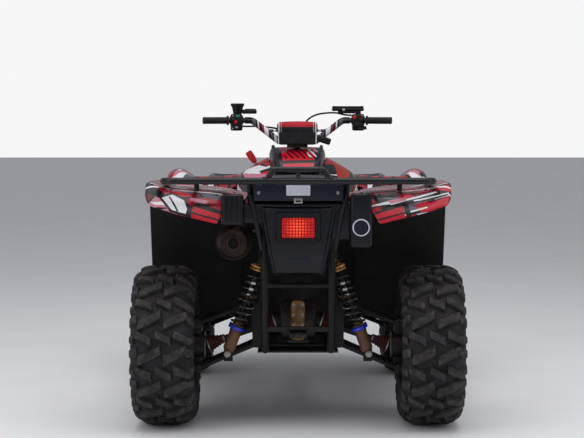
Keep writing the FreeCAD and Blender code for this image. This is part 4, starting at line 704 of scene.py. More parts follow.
fenderPatches = [                              # u is |x|, v runs back over the top and down the skirt
    ("black", [(0.20, -0.30), (0.34, -0.16), (0.58, -0.06), (0.58, -0.03), (0.30, -0.11)]),
    ("white", [(0.22, -0.22), (0.42, -0.05), (0.50, -0.020), (0.40, -0.037)]),
    ("black", [(0.512, 0.062), (0.466, 0.024), (0.410, 0.060), (0.388, 0.158), (0.470, 0.138)], 1),
    ("white", [(0.501, 0.065), (0.462, 0.036), (0.418, 0.068), (0.401, 0.144), (0.462, 0.126)], 1),
    ("black", [(0.436, 0.130), (0.444, 0.132), (0.476, 0.052), (0.470, 0.049)], 1),
    ("black", [(0.300, 0.100), (0.500, 0.022), (0.566, 0.040), (0.540, 0.060), (0.310, 0.118)], -1),
    ("white", [(0.330, 0.079), (0.500, 0.026), (0.512, 0.033), (0.340, 0.087)], -1),
    ("white", [(0.420, 0.068), (0.550, 0.042), (0.552, 0.048), (0.430, 0.075)], -1),
    ("grey", [(0.350, 0.108), (0.450, 0.076), (0.456, 0.084), (0.360, 0.116)], -1),
    ("bright", [(0.430, 0.108), (0.540, 0.070), (0.548, 0.110), (0.450, 0.140)], -1),
    ("white", [(0.400, 0.128), (0.470, 0.110), (0.474, 0.116), (0.405, 0.135)], -1),
    ("black", [(0.385, 0.098), (0.402, 0.088), (0.420, 0.19), (0.402, 0.20)]),
    ("white", [(0.45, -0.052), (0.54, -0.030), (0.552, -0.016), (0.46, -0.044)]),
    ("white", [(0.515, -0.010), (0.570, 0.020), (0.570, 0.026), (0.512, 0.002)]),
    ("black", [(0.28, 0.120), (0.392, 0.078), (0.392, 0.086), (0.28, 0.132)]),
    ("bright", [(0.27, 0.135), (0.382, 0.098), (0.396, 0.19), (0.27, 0.22)]),
    ("black", [(0.27, 0.160), (0.392, 0.128), (0.394, 0.136), (0.27, 0.171)]),
    ("pink", [(0.325, 0.062), (0.395, 0.048), (0.398, 0.066), (0.34, 0.080)]),
]
fenderGraphic = graphicFinish("fenderGraphic", "red", (1, 0, 0), (0, 1, -1), fenderPatches,
                              shattered=(0.118, 2.6, -24.0, 0.3))
crispRows = []                                 # closer points hold the lip's corner
for y, line in fenderRows:
    before, corner, foot = (Vector(p) for p in line[4:])
    crispRows.append((y, line[:5] + [tuple(corner.lerp(before, 0.22)), tuple(corner),
                                     tuple(corner.lerp(foot, 0.14)), tuple(foot)]))
verts, faces = skinRows(crispRows)
piece("rearFenderSkins", meshOf("rearFenders", verts, faces), fenderGraphic,
      stands=("rear_fenders",), both=True, wall=0.004, levels=2)

noseRows = []                                  # front bodywork, full width, left lip to right lip
# millimetres: y, heights of centre, cowl edge, trough; crest x, z; lip x, z
noseTable = metres([
    (-960, 800, 790, 790, 470, 800, 520, 742),
    (-925, 826, 818, 817, 497, 846, 555, 784),
    (-880, 850, 846, 845, 520, 885, 585, 822),
    (-815, 862, 856, 853, 530, 920, 597, 845),
    (-740, 868, 862, 858, 536, 936, 601, 859),
    (-660, 872, 865, 860, 539, 946, 602, 865),
    (-600, 874, 867, 861, 540, 948, 602, 867),
    (-545, 880, 868, 862, 537, 941, 600, 859),
    (-515, 897, 890, 884, 531, 926, 597, 848),
    (-490, 924, 923, 917, 521, 906, 590, 832),
    (-440, 947, 914, 892, 511, 884, 578, 812),
    (-400, 963, 900, 860, 500, 861, 565, 790),
    (-338, 996, 862, 816, 481, 821, 541, 742),
])
for y, zc, zi, zt, cx, cz, lx, lz in noseTable:
    half = [(lx, lz), (lx - 0.004, (cz + lz) / 2 + 0.006), (lx - 0.018, (cz * 0.78 + lz * 0.22)), (cx, cz),
            (cx - 0.045, cz * 0.72 + zt * 0.28), (cx - 0.085, zt + 0.004), (0.370, zt), (0.290, zi),
            (0.215, zi * 0.55 + zc * 0.45), (0.150, zc), (0.070, zc + 0.004)]
    noseRows.append((y, [(-x, z) for x, z in half] + [(0.0, zc + 0.005)] + half[::-1]))
nosePatches = [                                # u is |x|, v is y plus half of z
    ("white", [(0.50, -0.44), (0.62, -0.32), (0.62, -0.25), (0.52, -0.34)]),
    ("black", [(0.48, -0.28), (0.62, -0.19), (0.62, -0.13), (0.47, -0.21)]),
    ("white", [(0.49, -0.09), (0.60, -0.04), (0.60, 0.00), (0.52, -0.03)]),
    ("pink", [(0.46, -0.13), (0.56, -0.08), (0.56, -0.05), (0.47, -0.09)]),
    ("black", [(0.00, -0.60), (0.12, -0.60), (0.17, -0.30), (0.10, 0.12), (0.00, 0.12)]),
    ("white", [(0.135, -0.53), (0.165, -0.50), (0.215, -0.24), (0.190, -0.24)]),
]
noseGraphic = graphicFinish("noseGraphic", "red", (1, 0, 0), (0, 1, 0.5), nosePatches,
                            shattered=(0.130, 2.4, 38.0, 1.9))
verts, faces = skinRows(noseRows)
piece("frontBodySkin", meshOf("frontBody", verts, faces), noseGraphic,
      stands=("front_body",), wall=0.004, levels=2)

consoleRows = []
# millimetres: y, half width and height of the top edge, then of the foot
consoleTable = metres([(-335, 118, 1035, 124, 1000), (-300, 119, 1043, 125, 1005),
                       (-245, 118, 1050, 125, 1010), (-215, 115, 1045, 123, 1002),
                       (-170, 110, 1027, 118, 976), (-120, 103, 1004, 111, 941), (-74, 92, 964, 100, 882)])
for y, tx, tz, fx, fz in consoleTable:
    half = [(fx, fz), (tx + 0.003, tz - 0.022), (tx - 0.001, tz - 0.006), (tx - 0.014, tz - 0.001),
            (tx - 0.05, tz + 0.001)]
    consoleRows.append((y, [(-x, z) for x, z in half] + [(0.0, tz + 0.002)] + half[::-1]))
consolePatches = [                             # u is x, v is y
    ("white", [(-0.088, -0.345), (-0.030, -0.345), (-0.050, -0.300), (-0.088, -0.285)]),
    ("white", [(0.010, -0.345), (0.088, -0.345), (0.088, -0.318), (0.030, -0.330)]),
    ("pink", [(0.050, -0.275), (0.088, -0.300), (0.088, -0.215), (0.070, -0.230)]),
    ("black", [(-0.09, -0.245), (-0.02, -0.268), (0.03, -0.262), (0.088, -0.205), (0.088, -0.190),
               (0.02, -0.244), (-0.09, -0.228)]),
    ("black", [(0.074, -0.21), (0.088, -0.19), (0.074, -0.074), (0.060, -0.074)]),
    ("black", [(0.088, -0.34), (0.14, -0.34), (0.14, -0.05), (0.066, -0.05)]),
    ("black", [(-0.088, -0.34), (-0.14, -0.34), (-0.14, -0.05), (-0.066, -0.05)]),
]
consoleSlashes = [                             # colour, area, spacing, share, lean
    ("black", [(-0.060, -0.225), (0.060, -0.205), (0.055, -0.120), (-0.060, -0.120)], 0.026, 0.38, 0.55),
    ("white", [(-0.088, -0.205), (-0.034, -0.200), (-0.050, -0.130), (-0.082, -0.130)], 0.027, 0.3, 0.55),
    ("black", [(-0.088, -0.112), (0.070, -0.108), (0.070, -0.092), (-0.080, -0.096)], 0.5, 1.0, 0.0),
]
consoleGraphic = graphicFinish("consoleGraphic", "bright", (1, 0, 0), (0, 1, 0), consolePatches,
                               mirrored=False, slashes=consoleSlashes)
verts, faces = skinRows(consoleRows)
piece("consoleSkin", meshOf("console", verts, faces), consoleGraphic,
      stands=("console",), wall=0.004, levels=2)
trim = Builder()                               # raised black rails along the console's sides
for side in (1, -1):
    path = [(side * (tx - 0.012), y, tz + 0.001) for y, tx, tz, _, _ in consoleTable[1:]]
    trim.tube(flow(path, 5), 0.0075, 10)
piece("consoleRails", trim.mesh("consoleRails"), "bluePlastic")

# millimetres, side panel, left: y, then points from top edge to foot
sideRows = metres([
    (-335, [(124, 1000), (170, 975), (224, 948), (258, 922), (270, 880), (271, 800)]),
    (-280, [(125, 1006), (170, 982), (223, 952), (257, 926), (268, 880), (267, 782)]),
    (-230, [(125, 1008), (168, 984), (220, 956), (252, 928), (263, 870), (262, 760)]),
    (-180, [(119, 980), (160, 958), (208, 932), (240, 906), (251, 848), (251, 732)]),
    (-130, [(113, 950), (152, 929), (200, 906), (230, 882), (241, 820), (240, 706)]),
    (-74, [(101, 881), (140, 878), (188, 866), (216, 848), (228, 790), (228, 691)]),
    (20, [(129, 858), (155, 858), (188, 850), (209, 834), (221, 780), (222, 681)]),
    (130, [(146, 854), (166, 853), (190, 846), (208, 832), (220, 780), (222, 690)]),
    (240, [(159, 850), (172, 849), (192, 842), (208, 829), (220, 780), (222, 701)]),
])
leftPatches = [                                # u is y, v is z, left side
    ("white", [(-0.34, 0.84), (-0.34, 0.905), (-0.16, 0.945), (-0.10, 0.900), (-0.14, 0.83)]),
    ("pink", [(-0.22, 0.935), (-0.12, 0.935), (-0.06, 0.885), (-0.10, 0.86), (-0.17, 0.90)]),
    ("black", [(-0.34, 0.935), (-0.25, 0.945), (-0.06, 0.86), (-0.10, 0.84), (-0.34, 0.922)]),
    ("red", [(-0.34, 0.865), (-0.26, 0.885), (-0.30, 0.84), (-0.34, 0.83)]),
    ("black", [(-0.06, 0.88), (0.25, 0.86), (0.25, 0.835), (-0.04, 0.815)]),
    ("bright", [(-0.02, 0.84), (0.18, 0.83), (0.10, 0.79), (-0.03, 0.80)]),
]
rightPatches = [
    ("rust", [(-0.34, 0.97), (-0.22, 0.985), (-0.07, 0.87), (-0.12, 0.80), (-0.34, 0.84)]),
    ("black", [(-0.34, 0.955), (-0.27, 0.965), (-0.08, 0.86), (-0.10, 0.84), (-0.34, 0.94)]),
    ("white", [(-0.34, 0.885), (-0.25, 0.89), (-0.19, 0.86), (-0.34, 0.855)]),
    ("black", [(-0.29, 0.878), (-0.25, 0.880), (-0.25, 0.866), (-0.29, 0.864)]),
    ("black", [(-0.06, 0.88), (0.25, 0.86), (0.25, 0.835), (-0.04, 0.815)]),
    ("white", [(0.00, 0.84), (0.16, 0.83), (0.08, 0.80)]),
]
leftGraphic = graphicFinish("leftGraphic", "white", (0, 1, 0), (0, 0, 1), leftPatches, mirrored=False,
                            shattered=(0.100, 2.2, 30.0, 5.1))
rightGraphic = graphicFinish("rightGraphic", "bright", (0, 1, 0), (0, 0, 1), rightPatches, mirrored=False,
                             shattered=(0.105, 2.2, -28.0, 7.4))
verts, faces = skinRows(sideRows)
piece("sidePanelLeft", meshOf("sidePanelLeft", verts, faces), leftGraphic,
      stands=("side_panels",), wall=0.004, levels=2)
piece("sidePanelRight", meshOf("sidePanelRight", flip([Vector(v) for v in verts]), [f[::-1] for f in faces]),
      rightGraphic, wall=0.004, levels=2)
print("bodywork built")


# Tail: hatch lid, lamp, boxes, silencer

# upright panel facing the rear, low and high are (x, z)
def plaque(made, low, high, y, depth, corner, rim, part=0):
    made.take(*slab([(x, y, z) for x, z in plate(low, high, corner)], (0, 1, 0), depth, rim), part=part)


def loop(made, low, high, y, corner, radius, part=0):         # round bead along a panel's border
    made.tube([(x, y, z) for x, z in plate(low, high, corner)], radius, 8, closed=True, part=part)


hatchLook = {"half": 0.1635, "low": 0.8842, "high": 0.9448, "front": 0.9504, "back": 0.9582, "border": 0.009,
             "labelHalf": 0.044, "hingeX": 0.110, "hingeY": 0.9543, "hingeZ": 0.945}


def hatchPiece():
    s = hatchLook
    made = Builder()
    half, low, high, back, border = s["half"], s["low"], s["high"], s["back"], s["border"]
    plaque(made, (-half, low), (half, high), s["front"], back - s["front"], 0.008, 0.0022)
    plaque(made, (-half + border, low + 0.007), (half - border, high - 0.0025), back - 0.001, 0.0025, 0.006,
           0.0011)
    loop(made, (-half + border, low + 0.007), (half - border, high - 0.0025), back + 0.0002, 0.006, 0.0011)
    plaque(made, (-s["labelHalf"], 0.9035), (s["labelHalf"], 0.9415), back + 0.001, 0.0012, 0.003, 0.0004,
           part=1)
    made.box((-0.0165, back - 0.0006, 0.8745), (0.0165, back + 0.005, 0.8955), 0.0022, part=2)
    made.box((-0.0085, back + 0.0044, 0.8795), (0.0085, back + 0.0054, 0.8865), 0.0004, part=3)
    for side in (1, -1):
        start = (side * s["hingeX"] - 0.016, s["hingeY"], s["hingeZ"])
        made.lathe([(0, 0.0034), (0, 0.0052), (0.0008, 0.0059), (0.0312, 0.0059), (0.032, 0.0052),
                    (0.032, 0.0034)], start, (1, 0, 0), 20, closed=True)
        made.bolt((side * 0.145, back + 0.0012, 0.914), (0, 1, 0), 0.0042, 0.003, part=2)
    piece("hatchLid", made.mesh("hatchLid"), ["bluePlastic", "labelWhite", "boltSteel", "meltedBlack"],
          "hatch", ("storage_hatch",))


hatchPiece()

lensLook = {"half": 0.0605, "low": 0.7473, "high": 0.8217, "columns": 10, "rows": 6, "front": 0.9255,
            "face": 0.9572, "prism": 0.0026}


def lensPiece():
    s = lensLook
    made = Builder()
    made.box((-s["half"], s["front"], s["low"]), (s["half"], s["face"], s["high"]), 0.003)
    wide = (s["half"] * 2 - 0.008) / s["columns"]
    tall = (s["high"] - s["low"] - 0.008) / s["rows"]
    for i in range(s["columns"]):
        for j in range(s["rows"]):
            cx = -s["half"] + 0.004 + wide * (i + 0.5)
            cz = s["low"] + 0.004 + tall * (j + 0.5)
            verts = [(cx + u * wide * share, s["face"] + lift, cz + v * tall * share)
                     for share, lift in ((0.47, -0.0006), (0.2, s["prism"]))
                     for u, v in ((-1, -1), (1, -1), (1, 1), (-1, 1))]
            made.take(verts, [[0, 1, 5, 4], [1, 2, 6, 5], [2, 3, 7, 6], [3, 0, 4, 7], [4, 5, 6, 7]])
    piece("tailLens", made.mesh("tailLens"), "lensRed", stands=("tail_light",),
          smooth=20)


lensPiece()

tailLook = {"turn": 0.80, "wrap": 0.022, "discRadius": 0.032, "discAt": (-0.230, 0.9719, 0.787),
            "boxRound": 0.012, "leftBox": ((0.201, 0.936, 0.795), (0.283, 0.972, 0.909)),
            "rightBox": ((-0.269, 0.936, 0.712), (-0.191, 0.972, 0.912))}
# height, rear face and half width in millimetres, from the shelf down
tailProfile = metres([
    (866, 926, 144), (864, 938, 145), (860, 948, 146), (852, 954.5, 145.5), (835, 954.8, 143),
    (800, 954.1, 136.5), (765, 953.5, 130), (735, 952.8, 124), (709, 952, 119), (680, 945.5, 113.5),
    (650, 936.5, 108), (625, 928.8, 103.2), (614, 925.5, 101)])
tailShares = [-1.0, -0.985, -0.955, -0.91, -0.86, -0.80, -0.6, -0.35, -0.1,
              0.1, 0.35, 0.6, 0.80, 0.86, 0.91, 0.955, 0.985, 1.0]   # across the cover, closer where it turns


def ringPlate(made, outer, inner, y0, y1, lean):
    # upright frame with a window, each given by its low and high corner; lean draws its face inwards
    def line(corners, y, corner, inset=0.0):
        (x0, z0), (x1, z1) = corners
        outline = plate((x0 + inset, z0 + inset), (x1 - inset, z1 - inset), corner, 5)
        return [Vector((x, y, z)) for x, z in outline]
    loops = [line(outer, y0, 0.009), line(outer, y1, 0.009, lean), line(inner, y1, 0.007, -lean),
             line(inner, y0, 0.006)]
    n = len(loops[0])
    verts = [p for each in loops for p in each]
    faces = [[j * n + i, j * n + (i + 1) % n, (j + 1) % 4 * n + (i + 1) % n, (j + 1) % 4 * n + i]
             for j in range(4) for i in range(n)]
    made.take(verts, faces)


def tailCover():
    s = tailLook
    verts = []
    for z, y, half in tailProfile:
        for t in tailShares:
            k = max(0.0, (abs(t) - s["turn"]) / (1 - s["turn"]))
            verts.append((half * t, y - s["wrap"] * (1 - math.sqrt(max(0.0, 1 - k * k))), z))
    piece("tailCover", meshOf("tailCover", verts, gridFaces(len(tailProfile), len(tailShares))),
          "tailPlastic", stands=("tail_cover",), wall=0.004, levels=1)
    made = Builder()
    ringPlate(made, ((-0.083, 0.735), (0.083, 0.844)), ((-0.0615, 0.7463), (0.0615, 0.8227)), 0.9505, 0.9640,
              0.0035)
    made.tube(flow([(-0.164, 0.944, 0.8668), (-0.08, 0.9505, 0.866), (0, 0.952, 0.8657),
                    (0.08, 0.9505, 0.866), (0.164, 0.944, 0.8668)], 5), 0.0045, 10)
    for side in (1, -1):                       # moulded ridges that run down the cover's sides
        line = [(side * (half - 0.013), y + 0.0015, z) for z, y, half in tailProfile[3:]]
        made.tube(flow(line, 3), 0.0052, 10, swell=lambda t: 1.0 - 0.35 * t)
        line = [(side * 0.178, 0.940, 0.905), (side * 0.170, 0.950, 0.872), (side * 0.160, 0.954, 0.835),
                (side * 0.151, 0.953, 0.790), (side * 0.143, 0.949, 0.745), (side * 0.136, 0.942, 0.700)]
        made.tube(flow(line, 4), 0.0085, 12, swell=lambda t: 1.0 - 0.3 * abs(2 * t - 1) ** 3)
    for key in ("leftBox", "rightBox"):
        made.box(*s[key], s["boxRound"], 4)
    (x0, y0, z0), (x1, y1, z1) = s["leftBox"]
    for k in range(4):
        x = x0 + 0.014 + k * (x1 - x0 - 0.028) / 3
        made.box((x - 0.0042, y1 - 0.004, z0 + 0.012), (x + 0.0042, y1 + 0.0055, z1 - 0.012), 0.0028, 3)
    made.box((0.128, 0.940, 0.802), (0.206, 0.950, 0.868), 0.004)
    made.box((-0.196, 0.940, 0.742), (-0.122, 0.950, 0.864), 0.004)
    r = s["discRadius"]
    made.lathe([(-0.001, r), (0.0014, r - 0.0004), (0.002, r - 0.0016), (0.0018, r - 0.0046),
                (-0.001, r - 0.0046)], s["discAt"], (0, 1, 0), 48, closed=True, part=3)
    made.lathe([(0.0006, r - 0.0040), (0.0016, r - 0.0048), (0.0018, 0.0001)], s["discAt"], (0, 1, 0), 48,
               part=1)
    for z in (0.836, 0.738):                   # seams of the right-hand box
        made.tube([(-0.2675, 0.9700, z), (-0.264, 0.9722, z), (-0.196, 0.9722, z), (-0.1925, 0.9700, z)],
                  0.0012, 6)
    for x, z in ((0.112, 0.846), (-0.112, 0.846), (0.098, 0.722), (-0.098, 0.722)):
        made.bolt((x, 0.9538 - (0.84 - z) * 0.02, z), (0, 1, 0), 0.0042, 0.0026, part=2)
    made.box((-0.040, 0.9400, 0.6550), (0.040, 0.9452, 0.6800), 0.0016, part=1)
    piece("tailTrim", made.mesh("tailTrim"), ["tailPlastic", "bluePlastic", "darkSteel", "barWhite"])


tailCover()

silencerLook = {"x": 0.240, "z": 0.725, "radius": 0.064, "front": 0.560, "back": 0.880,
                "straps": (0.640, 0.800)}


def silencerTrim():
    s = silencerLook
    made = Builder()
    x, z, r = s["x"], s["z"], s["radius"]
    back = (0, 1, 0)
    for y in (s["front"], s["back"]):          # rolled seams at both ends of the can
        made.lathe([(-0.004, r - 0.001), (-0.003, r + 0.0018), (0.003, r + 0.0018), (0.004, r - 0.001)],
                   (x, y, z), back, 48, closed=True)
    for y in s["straps"]:
        made.lathe([(-0.010, r - 0.0005), (-0.010, r + 0.0014), (0.010, r + 0.0014), (0.010, r - 0.0005)],
                   (x, y, z), back, 48, closed=True, part=1)
        made.box((x - 0.012, y - 0.008, z + r), (x + 0.012, y + 0.008, z + r + 0.009), 0.002, part=1)
        made.bolt((x + 0.012, y, z + r + 0.005), (1, 0, 0), 0.004, 0.004, part=1)
    made.lathe([(0, 0.046), (0.002, 0.0455), (0.002, 0.0415), (0, 0.041)], (x, 0.9045, z), back, 40,
               closed=True)
    made.lathe([(0, 0.0222), (0.003, 0.0236), (0.0055, 0.0234), (0.0065, 0.0215), (0.0065, 0.0178),
                (0, 0.0178)], (x, 0.9185, z), back, 36, closed=True, part=3)
    made.lathe([(0, 0.0177), (0.0005, 0.0001)], (x, 0.908, z), back, 32, part=2)
    for a in around(8, 0.5):                   # rivets of the end cap
        spot = Vector((x + math.cos(a) * 0.0565, 0.8935, z + math.sin(a) * 0.0565))
        made.lathe([(0, 0.0032), (0.0014, 0.0028), (0.0022, 0.0012), (0.0023, 0.0001)], spot,
                   (math.cos(a) * 0.87, 0.49, math.sin(a) * 0.87), 10, part=1)
    piece("silencerTrim", made.mesh("silencerTrim"), ["shadedExhaustSteel", "darkSteel", "burntTip", "brownBody"])


silencerTrim()
print("tail built")


# Running gear: shocks, drive shafts, final drive

shockLook = {"coilRadius": 0.0287, "wire": 0.0048, "turns": 9.5, "stepsPerTurn": 24, "ringAt": 0.098}
shockLines = ((0.7675, (0.268, 0.293), (0.136, 0.651)), (-0.6985, (0.300, 0.309), (0.190, 0.650)))


def coilPart(z):                               # gold top turns, then painted glints: a gold ring at 0.507 and pale highlight rings at 0.464 and 0.441
    if z > 0.596:
        return 1
    if abs(z - 0.507) < 0.005:
        return 1
    return 3 if abs(z - 0.464) < 0.003 or abs(z - 0.441) < 0.003 else 0


def shockPieces():
    s = shockLook
    bodies, coils = Builder(), Builder()
    for y, foot, head in shockLines:
        low, high = Vector((foot[0], y, foot[1])), Vector((head[0], y, head[1]))
        long = (high - low).length
        axis = (high - low).normalized()
        u, v, _ = axisFrame(axis)

        def part(profile, index=0, start=low, along=axis, closed=True, count=32):
            bothSides(bodies, *lathed(profile, start, along, count, closed=closed), index)
        for centre in (low, high):
            part([(0, 0.0066), (0, 0.0142), (0.001, 0.0148), (0.030, 0.0148), (0.031, 0.0142),
                  (0.031, 0.0066)], 0, centre - Vector((0, 0.0155, 0)), Vector((0, 1, 0)))
        part([(0.010, 0.008), (0.012, 0.019), (0.018, 0.0235), (0.030, 0.0242), (0.034, 0.0228),
              (0.084, 0.0228), (0.088, 0.0242), (0.096, 0.0242), (0.100, 0.0215), (0.128, 0.0215),
              (0.130, 0.0205), (0.130, 0.008)])
        part([(0.126, 0.0078), (0.126, 0.0088), (long - 0.014, 0.0088), (long - 0.014, 0.0078)], 3)
        for k in range(7):                     # thread that the spring's seat turns on
            a = 0.1115 + k * 0.0026
            part([(a, 0.0210), (a + 0.0006, 0.0222), (a + 0.0012, 0.0222), (a + 0.0018, 0.0210)], 3, count=24)
        a = s["ringAt"]
        part([(a, 0.0215), (a, 0.0318), (a + 0.0014, 0.0332), (a + 0.0095, 0.0332), (a + 0.011, 0.0318),
              (a + 0.011, 0.0215)], 1)
        for t in around(6):                    # notches for the spanner
            spoke = u * math.cos(t) + v * math.sin(t)
            spot = low + axis * (a + 0.0055) + spoke * 0.0330
            bothSides(bodies, *lathed([(-0.001, 0.0028), (0.0006, 0.0026), (0.0007, 0.0001)], spot, spoke, 8),
                      4)
        b = long - 0.036
        part([(b, 0.0088), (b, 0.0312), (b + 0.0015, 0.0328), (b + 0.0085, 0.0328), (b + 0.011, 0.0290),
              (b + 0.014, 0.0185), (b + 0.022, 0.0140), (b + 0.026, 0.0088)], 2)
        part([(b - 0.034, 0.0090), (b - 0.031, 0.0145), (b - 0.024, 0.0115), (b - 0.017, 0.0152),
              (b - 0.010, 0.0122), (b - 0.003, 0.0162), (b, 0.0162), (b, 0.0090)], 4, count=24)
        steps = int(s["turns"] * s["stepsPerTurn"])
        lowEnd, highEnd = a + 0.011 + s["wire"] * 0.8, b - s["wire"] * 0.8
        line = []
        for k in range(steps + 1):
            t = k / steps
            # closed end turns
            rise = t - (0.055 * math.sin(4 * math.pi * t) if t < 0.12 or t > 0.88 else 0.0)
            along = lowEnd + (highEnd - lowEnd) * min(1, max(0, rise))
            turn = 2 * math.pi * s["turns"] * t
            line.append(low + axis * along + (u * math.cos(turn) + v * math.sin(turn)) * s["coilRadius"])
        verts, faces = hose(line, s["wire"], 9)
        for side in (1, -1):
            placed = verts if side > 0 else flip(verts)
            start = len(coils.verts)
            coils.verts += [Vector(p) for p in placed]
            for f in faces:
                coils.faces.append([i + start for i in (f if side > 0 else f[::-1])])
                middle = sum((placed[i] for i in f), Vector()) / len(f)
                spoke = middle - (low if side > 0 else flip([low])[0])
                run = axis if side > 0 else flip([axis])[0]
                outward = (spoke - run * spoke.dot(run)).normalized()
                # painted highlight: white dabs on the middle coils where they face the rear
                paintedGlint = abs(middle.z - 0.55) < 0.030 and outward.y > 0.9 and abs(outward.x - 0.08 * side) < 0.24
                coils.parts.append(2 if paintedGlint else coilPart(middle.z))
    looks = ["brownBody", "blueRing", "goldSteel", "darkSteel", "meltedBlack"]
    piece("shockBodies", bodies.mesh("shockBodies"), looks, stands=("dampers",))
    piece("shockCoils", coils.mesh("shockCoils"), ["springPaint", "goldSteel", "barWhite", "paleGrey"],
          stands=("springs",))


shockPieces()

shaftLook = {"radius": 0.012, "stub": 0.0298, "axle": 0.3085}
shaftLines = ((0.6475, 0.405, 0.0703, 0.356), (-0.6025, 0.388, 0.0603, 0.371))


def bellows(start, length, wide, narrow, ribs):
    profile = [(start, narrow * 0.6), (start, wide), (start + 0.006, wide)]
    for k in range(ribs):
        t0 = 0.006 + (length - 0.016) * k / ribs
        t1 = 0.006 + (length - 0.016) * (k + 0.5) / ribs
        r0 = wide + (narrow - wide) * (k + 0.1) / ribs
        r1 = wide + (narrow - wide) * (k + 0.6) / ribs
        profile += [(start + t0 + 0.0015, r0 - 0.0035), (start + t1, r1 + 0.0012),
                    (start + t1 + 0.0015, r1 + 0.0008)]
    profile += [(start + length - 0.009, narrow), (start + length, narrow), (start + length, narrow * 0.6)]
    return profile


def shaftPieces():
    made = Builder()
    for y, z, inner, outer in shaftLines:
        start, end = Vector((inner, y, z)), Vector((outer, y, shaftLook["axle"]))
        along = (end - start).normalized()
        out = Vector((1, 0, 0))
        bothSides(made, *lathed([(0, 0.012), (0, shaftLook["stub"]), (0.020, shaftLook["stub"]),
                                 (0.024, 0.026), (0.024, 0.012)], start, out, 32, closed=True), part=1)
        bothSides(made, *lathed(bellows(0.0, 0.070, 0.0355, 0.0165, 5), start + out * 0.018, along, 32,
                                closed=True))
        bothSides(made, *lathed(bellows(0.0, 0.070, 0.0335, 0.0165, 5), end - along * 0.008, -along, 32,
                                closed=True))
        bothSides(made, *lathed([(0.010, 0.0001), (0.010, 0.012), ((end - start).length - 0.004, 0.012),
                                 ((end - start).length - 0.004, 0.0001)], start, along, 20), part=1)
        for spot, r in ((start + out * 0.018 + along * 0.003, 0.0362),
                        (start + out * 0.018 + along * 0.0655, 0.0172), (end - along * 0.011, 0.0342),
                        (end - along * 0.0735, 0.0172)):
            bothSides(made, *lathed([(-0.0022, r - 0.001), (-0.0022, r + 0.0006), (0.0022, r + 0.0006),
                                     (0.0022, r - 0.001)], spot, along, 28, closed=True), part=2)
    piece("driveShafts", made.mesh("driveShafts"), ["bootRubber", "castCase", "boltSteel"],
          stands=("half_shafts",))


shaftPieces()

driveLook = {"halfWidth": 0.027, "low": 0.338, "high": 0.492, "front": 0.712, "back": 0.738}


def driveTrim():
    s = driveLook
    made = Builder()
    plaque(made, (-s["halfWidth"], s["low"]), (s["halfWidth"], s["high"]), s["front"], s["back"] - s["front"],
           0.020, 0.003)
    loop(made, (-s["halfWidth"] + 0.004, s["low"] + 0.004), (s["halfWidth"] - 0.004, s["high"] - 0.004),
         s["back"], 0.016, 0.0022)
    made.lathe([(0, 0.017), (0.006, 0.0165), (0.007, 0.0125), (0.003, 0.0115), (0.003, 0.0001)],
               (0, s["back"] - 0.001, 0.415), (0, 1, 0), 32)
    for k in range(4):
        z = s["low"] + 0.018 + k * (s["high"] - s["low"] - 0.036) / 3
        for side in (1, -1):
            made.bolt((side * (s["halfWidth"] - 0.008), s["back"] - 0.0005, z), (0, 1, 0), 0.0042, 0.004,
                      part=1)
    for side in (1, -1):                       # cast flanges and cooling ribs of the housing
        made.lathe([(0, 0.080), (0.006, 0.080), (0.006, 0.074), (0, 0.074)], (side * 0.052, 0.6475, 0.405),
                   (side, 0, 0), 44, closed=True, part=2)
        for k in range(3):
            made.lathe([(0, 0.0795), (0.0022, 0.0795), (0.0022, 0.075), (0, 0.075)],
                       (side * (0.014 + k * 0.0115), 0.6475, 0.405), (side, 0, 0), 44, closed=True, part=2)
    piece("driveTrim", made.mesh("driveTrim"), ["brassCase", "boltSteel", "castCase"])


driveTrim()

guardLook = {"line": ((0.2945, 0.306), (0.2945, 0.391), (0.310, 0.496), (0.328, 0.600), (0.366, 0.700),
                      (0.402, 0.800), (0.418, 0.846)), "inner": 0.144, "outer": 0.231, "lowOuter": 0.268}


def wheelGuards():                             # dark sheets between the frame and the footrests: inner liners, and a dark stand-in for the shade inside the body
    s = guardLook
    verts = []
    for y, z in s["line"]:
        for k in range(5):
            t = k / 4
            outer = s["lowOuter"] if z < 0.38 else s["outer"]
            verts.append((s["inner"] + (outer - s["inner"]) * t,
                          y - 0.004 * math.sin(math.pi * t) * (z > 0.4), z))
    piece("wheelGuards", meshOf("wheelGuards", verts, gridFaces(len(s["line"]), 5)), "gloomPlastic",
          both=True, wall=0.003, levels=1)


wheelGuards()
print("running gear built")


# Seat and bar pad: stuffed covers

def evaluated(obj):
    return bpy.data.meshes.new_from_object(obj.evaluated_get(bpy.context.evaluated_depsgraph_get()))


def stuffed(name, verts, faces, look, body, stands, voxel, cap, pressure, floor=None):
    # a closed cover is blown up as cloth, held along its base, and keeps the swollen shape
    obj = piece(name, meshOf(name, verts, faces), look, body, stands, smooth=0)
    grid = obj.modifiers.new("grid", "REMESH")
    grid.mode = "VOXEL"
    grid.voxel_size = voxel
    mesh = evaluated(obj)
    obj.modifiers.clear()
    obj.data = mesh
    mesh.polygons.foreach_set("use_smooth", [True] * len(mesh.polygons))
    start = [v.co.copy() for v in mesh.vertices]
    group = obj.vertex_groups.new(name="base")
    held = [i for i, c in enumerate(start) if floor is not None and c.z < floor]
    if held:
        group.add(held, 1.0, "REPLACE")
    cloth = obj.modifiers.new("swell", "CLOTH")
    s = cloth.settings
    s.quality = 5
    s.mass = 0.3
    s.use_pressure = True
    s.uniform_pressure_force = pressure
    s.effector_weights.gravity = 0.0
    if held:
        s.vertex_group_mass = "base"
    cloth.collision_settings.use_collision = False
    cloth.point_cache.frame_start = 1
    cloth.point_cache.frame_end = 20
    for step in range(1, 21):
        bpy.context.scene.frame_set(step)
    grown = evaluated(obj)
    for v, before, after in zip(mesh.vertices, start, grown.vertices):
        move = after.co - before
        v.co = before + (move if move.length < cap else move.normalized() * cap)
    obj.modifiers.clear()
    bpy.context.scene.frame_set(1)
    mesh.update()
    sub = obj.modifiers.new("smooth", "SUBSURF")
    sub.levels = sub.render_levels = 1
    return obj


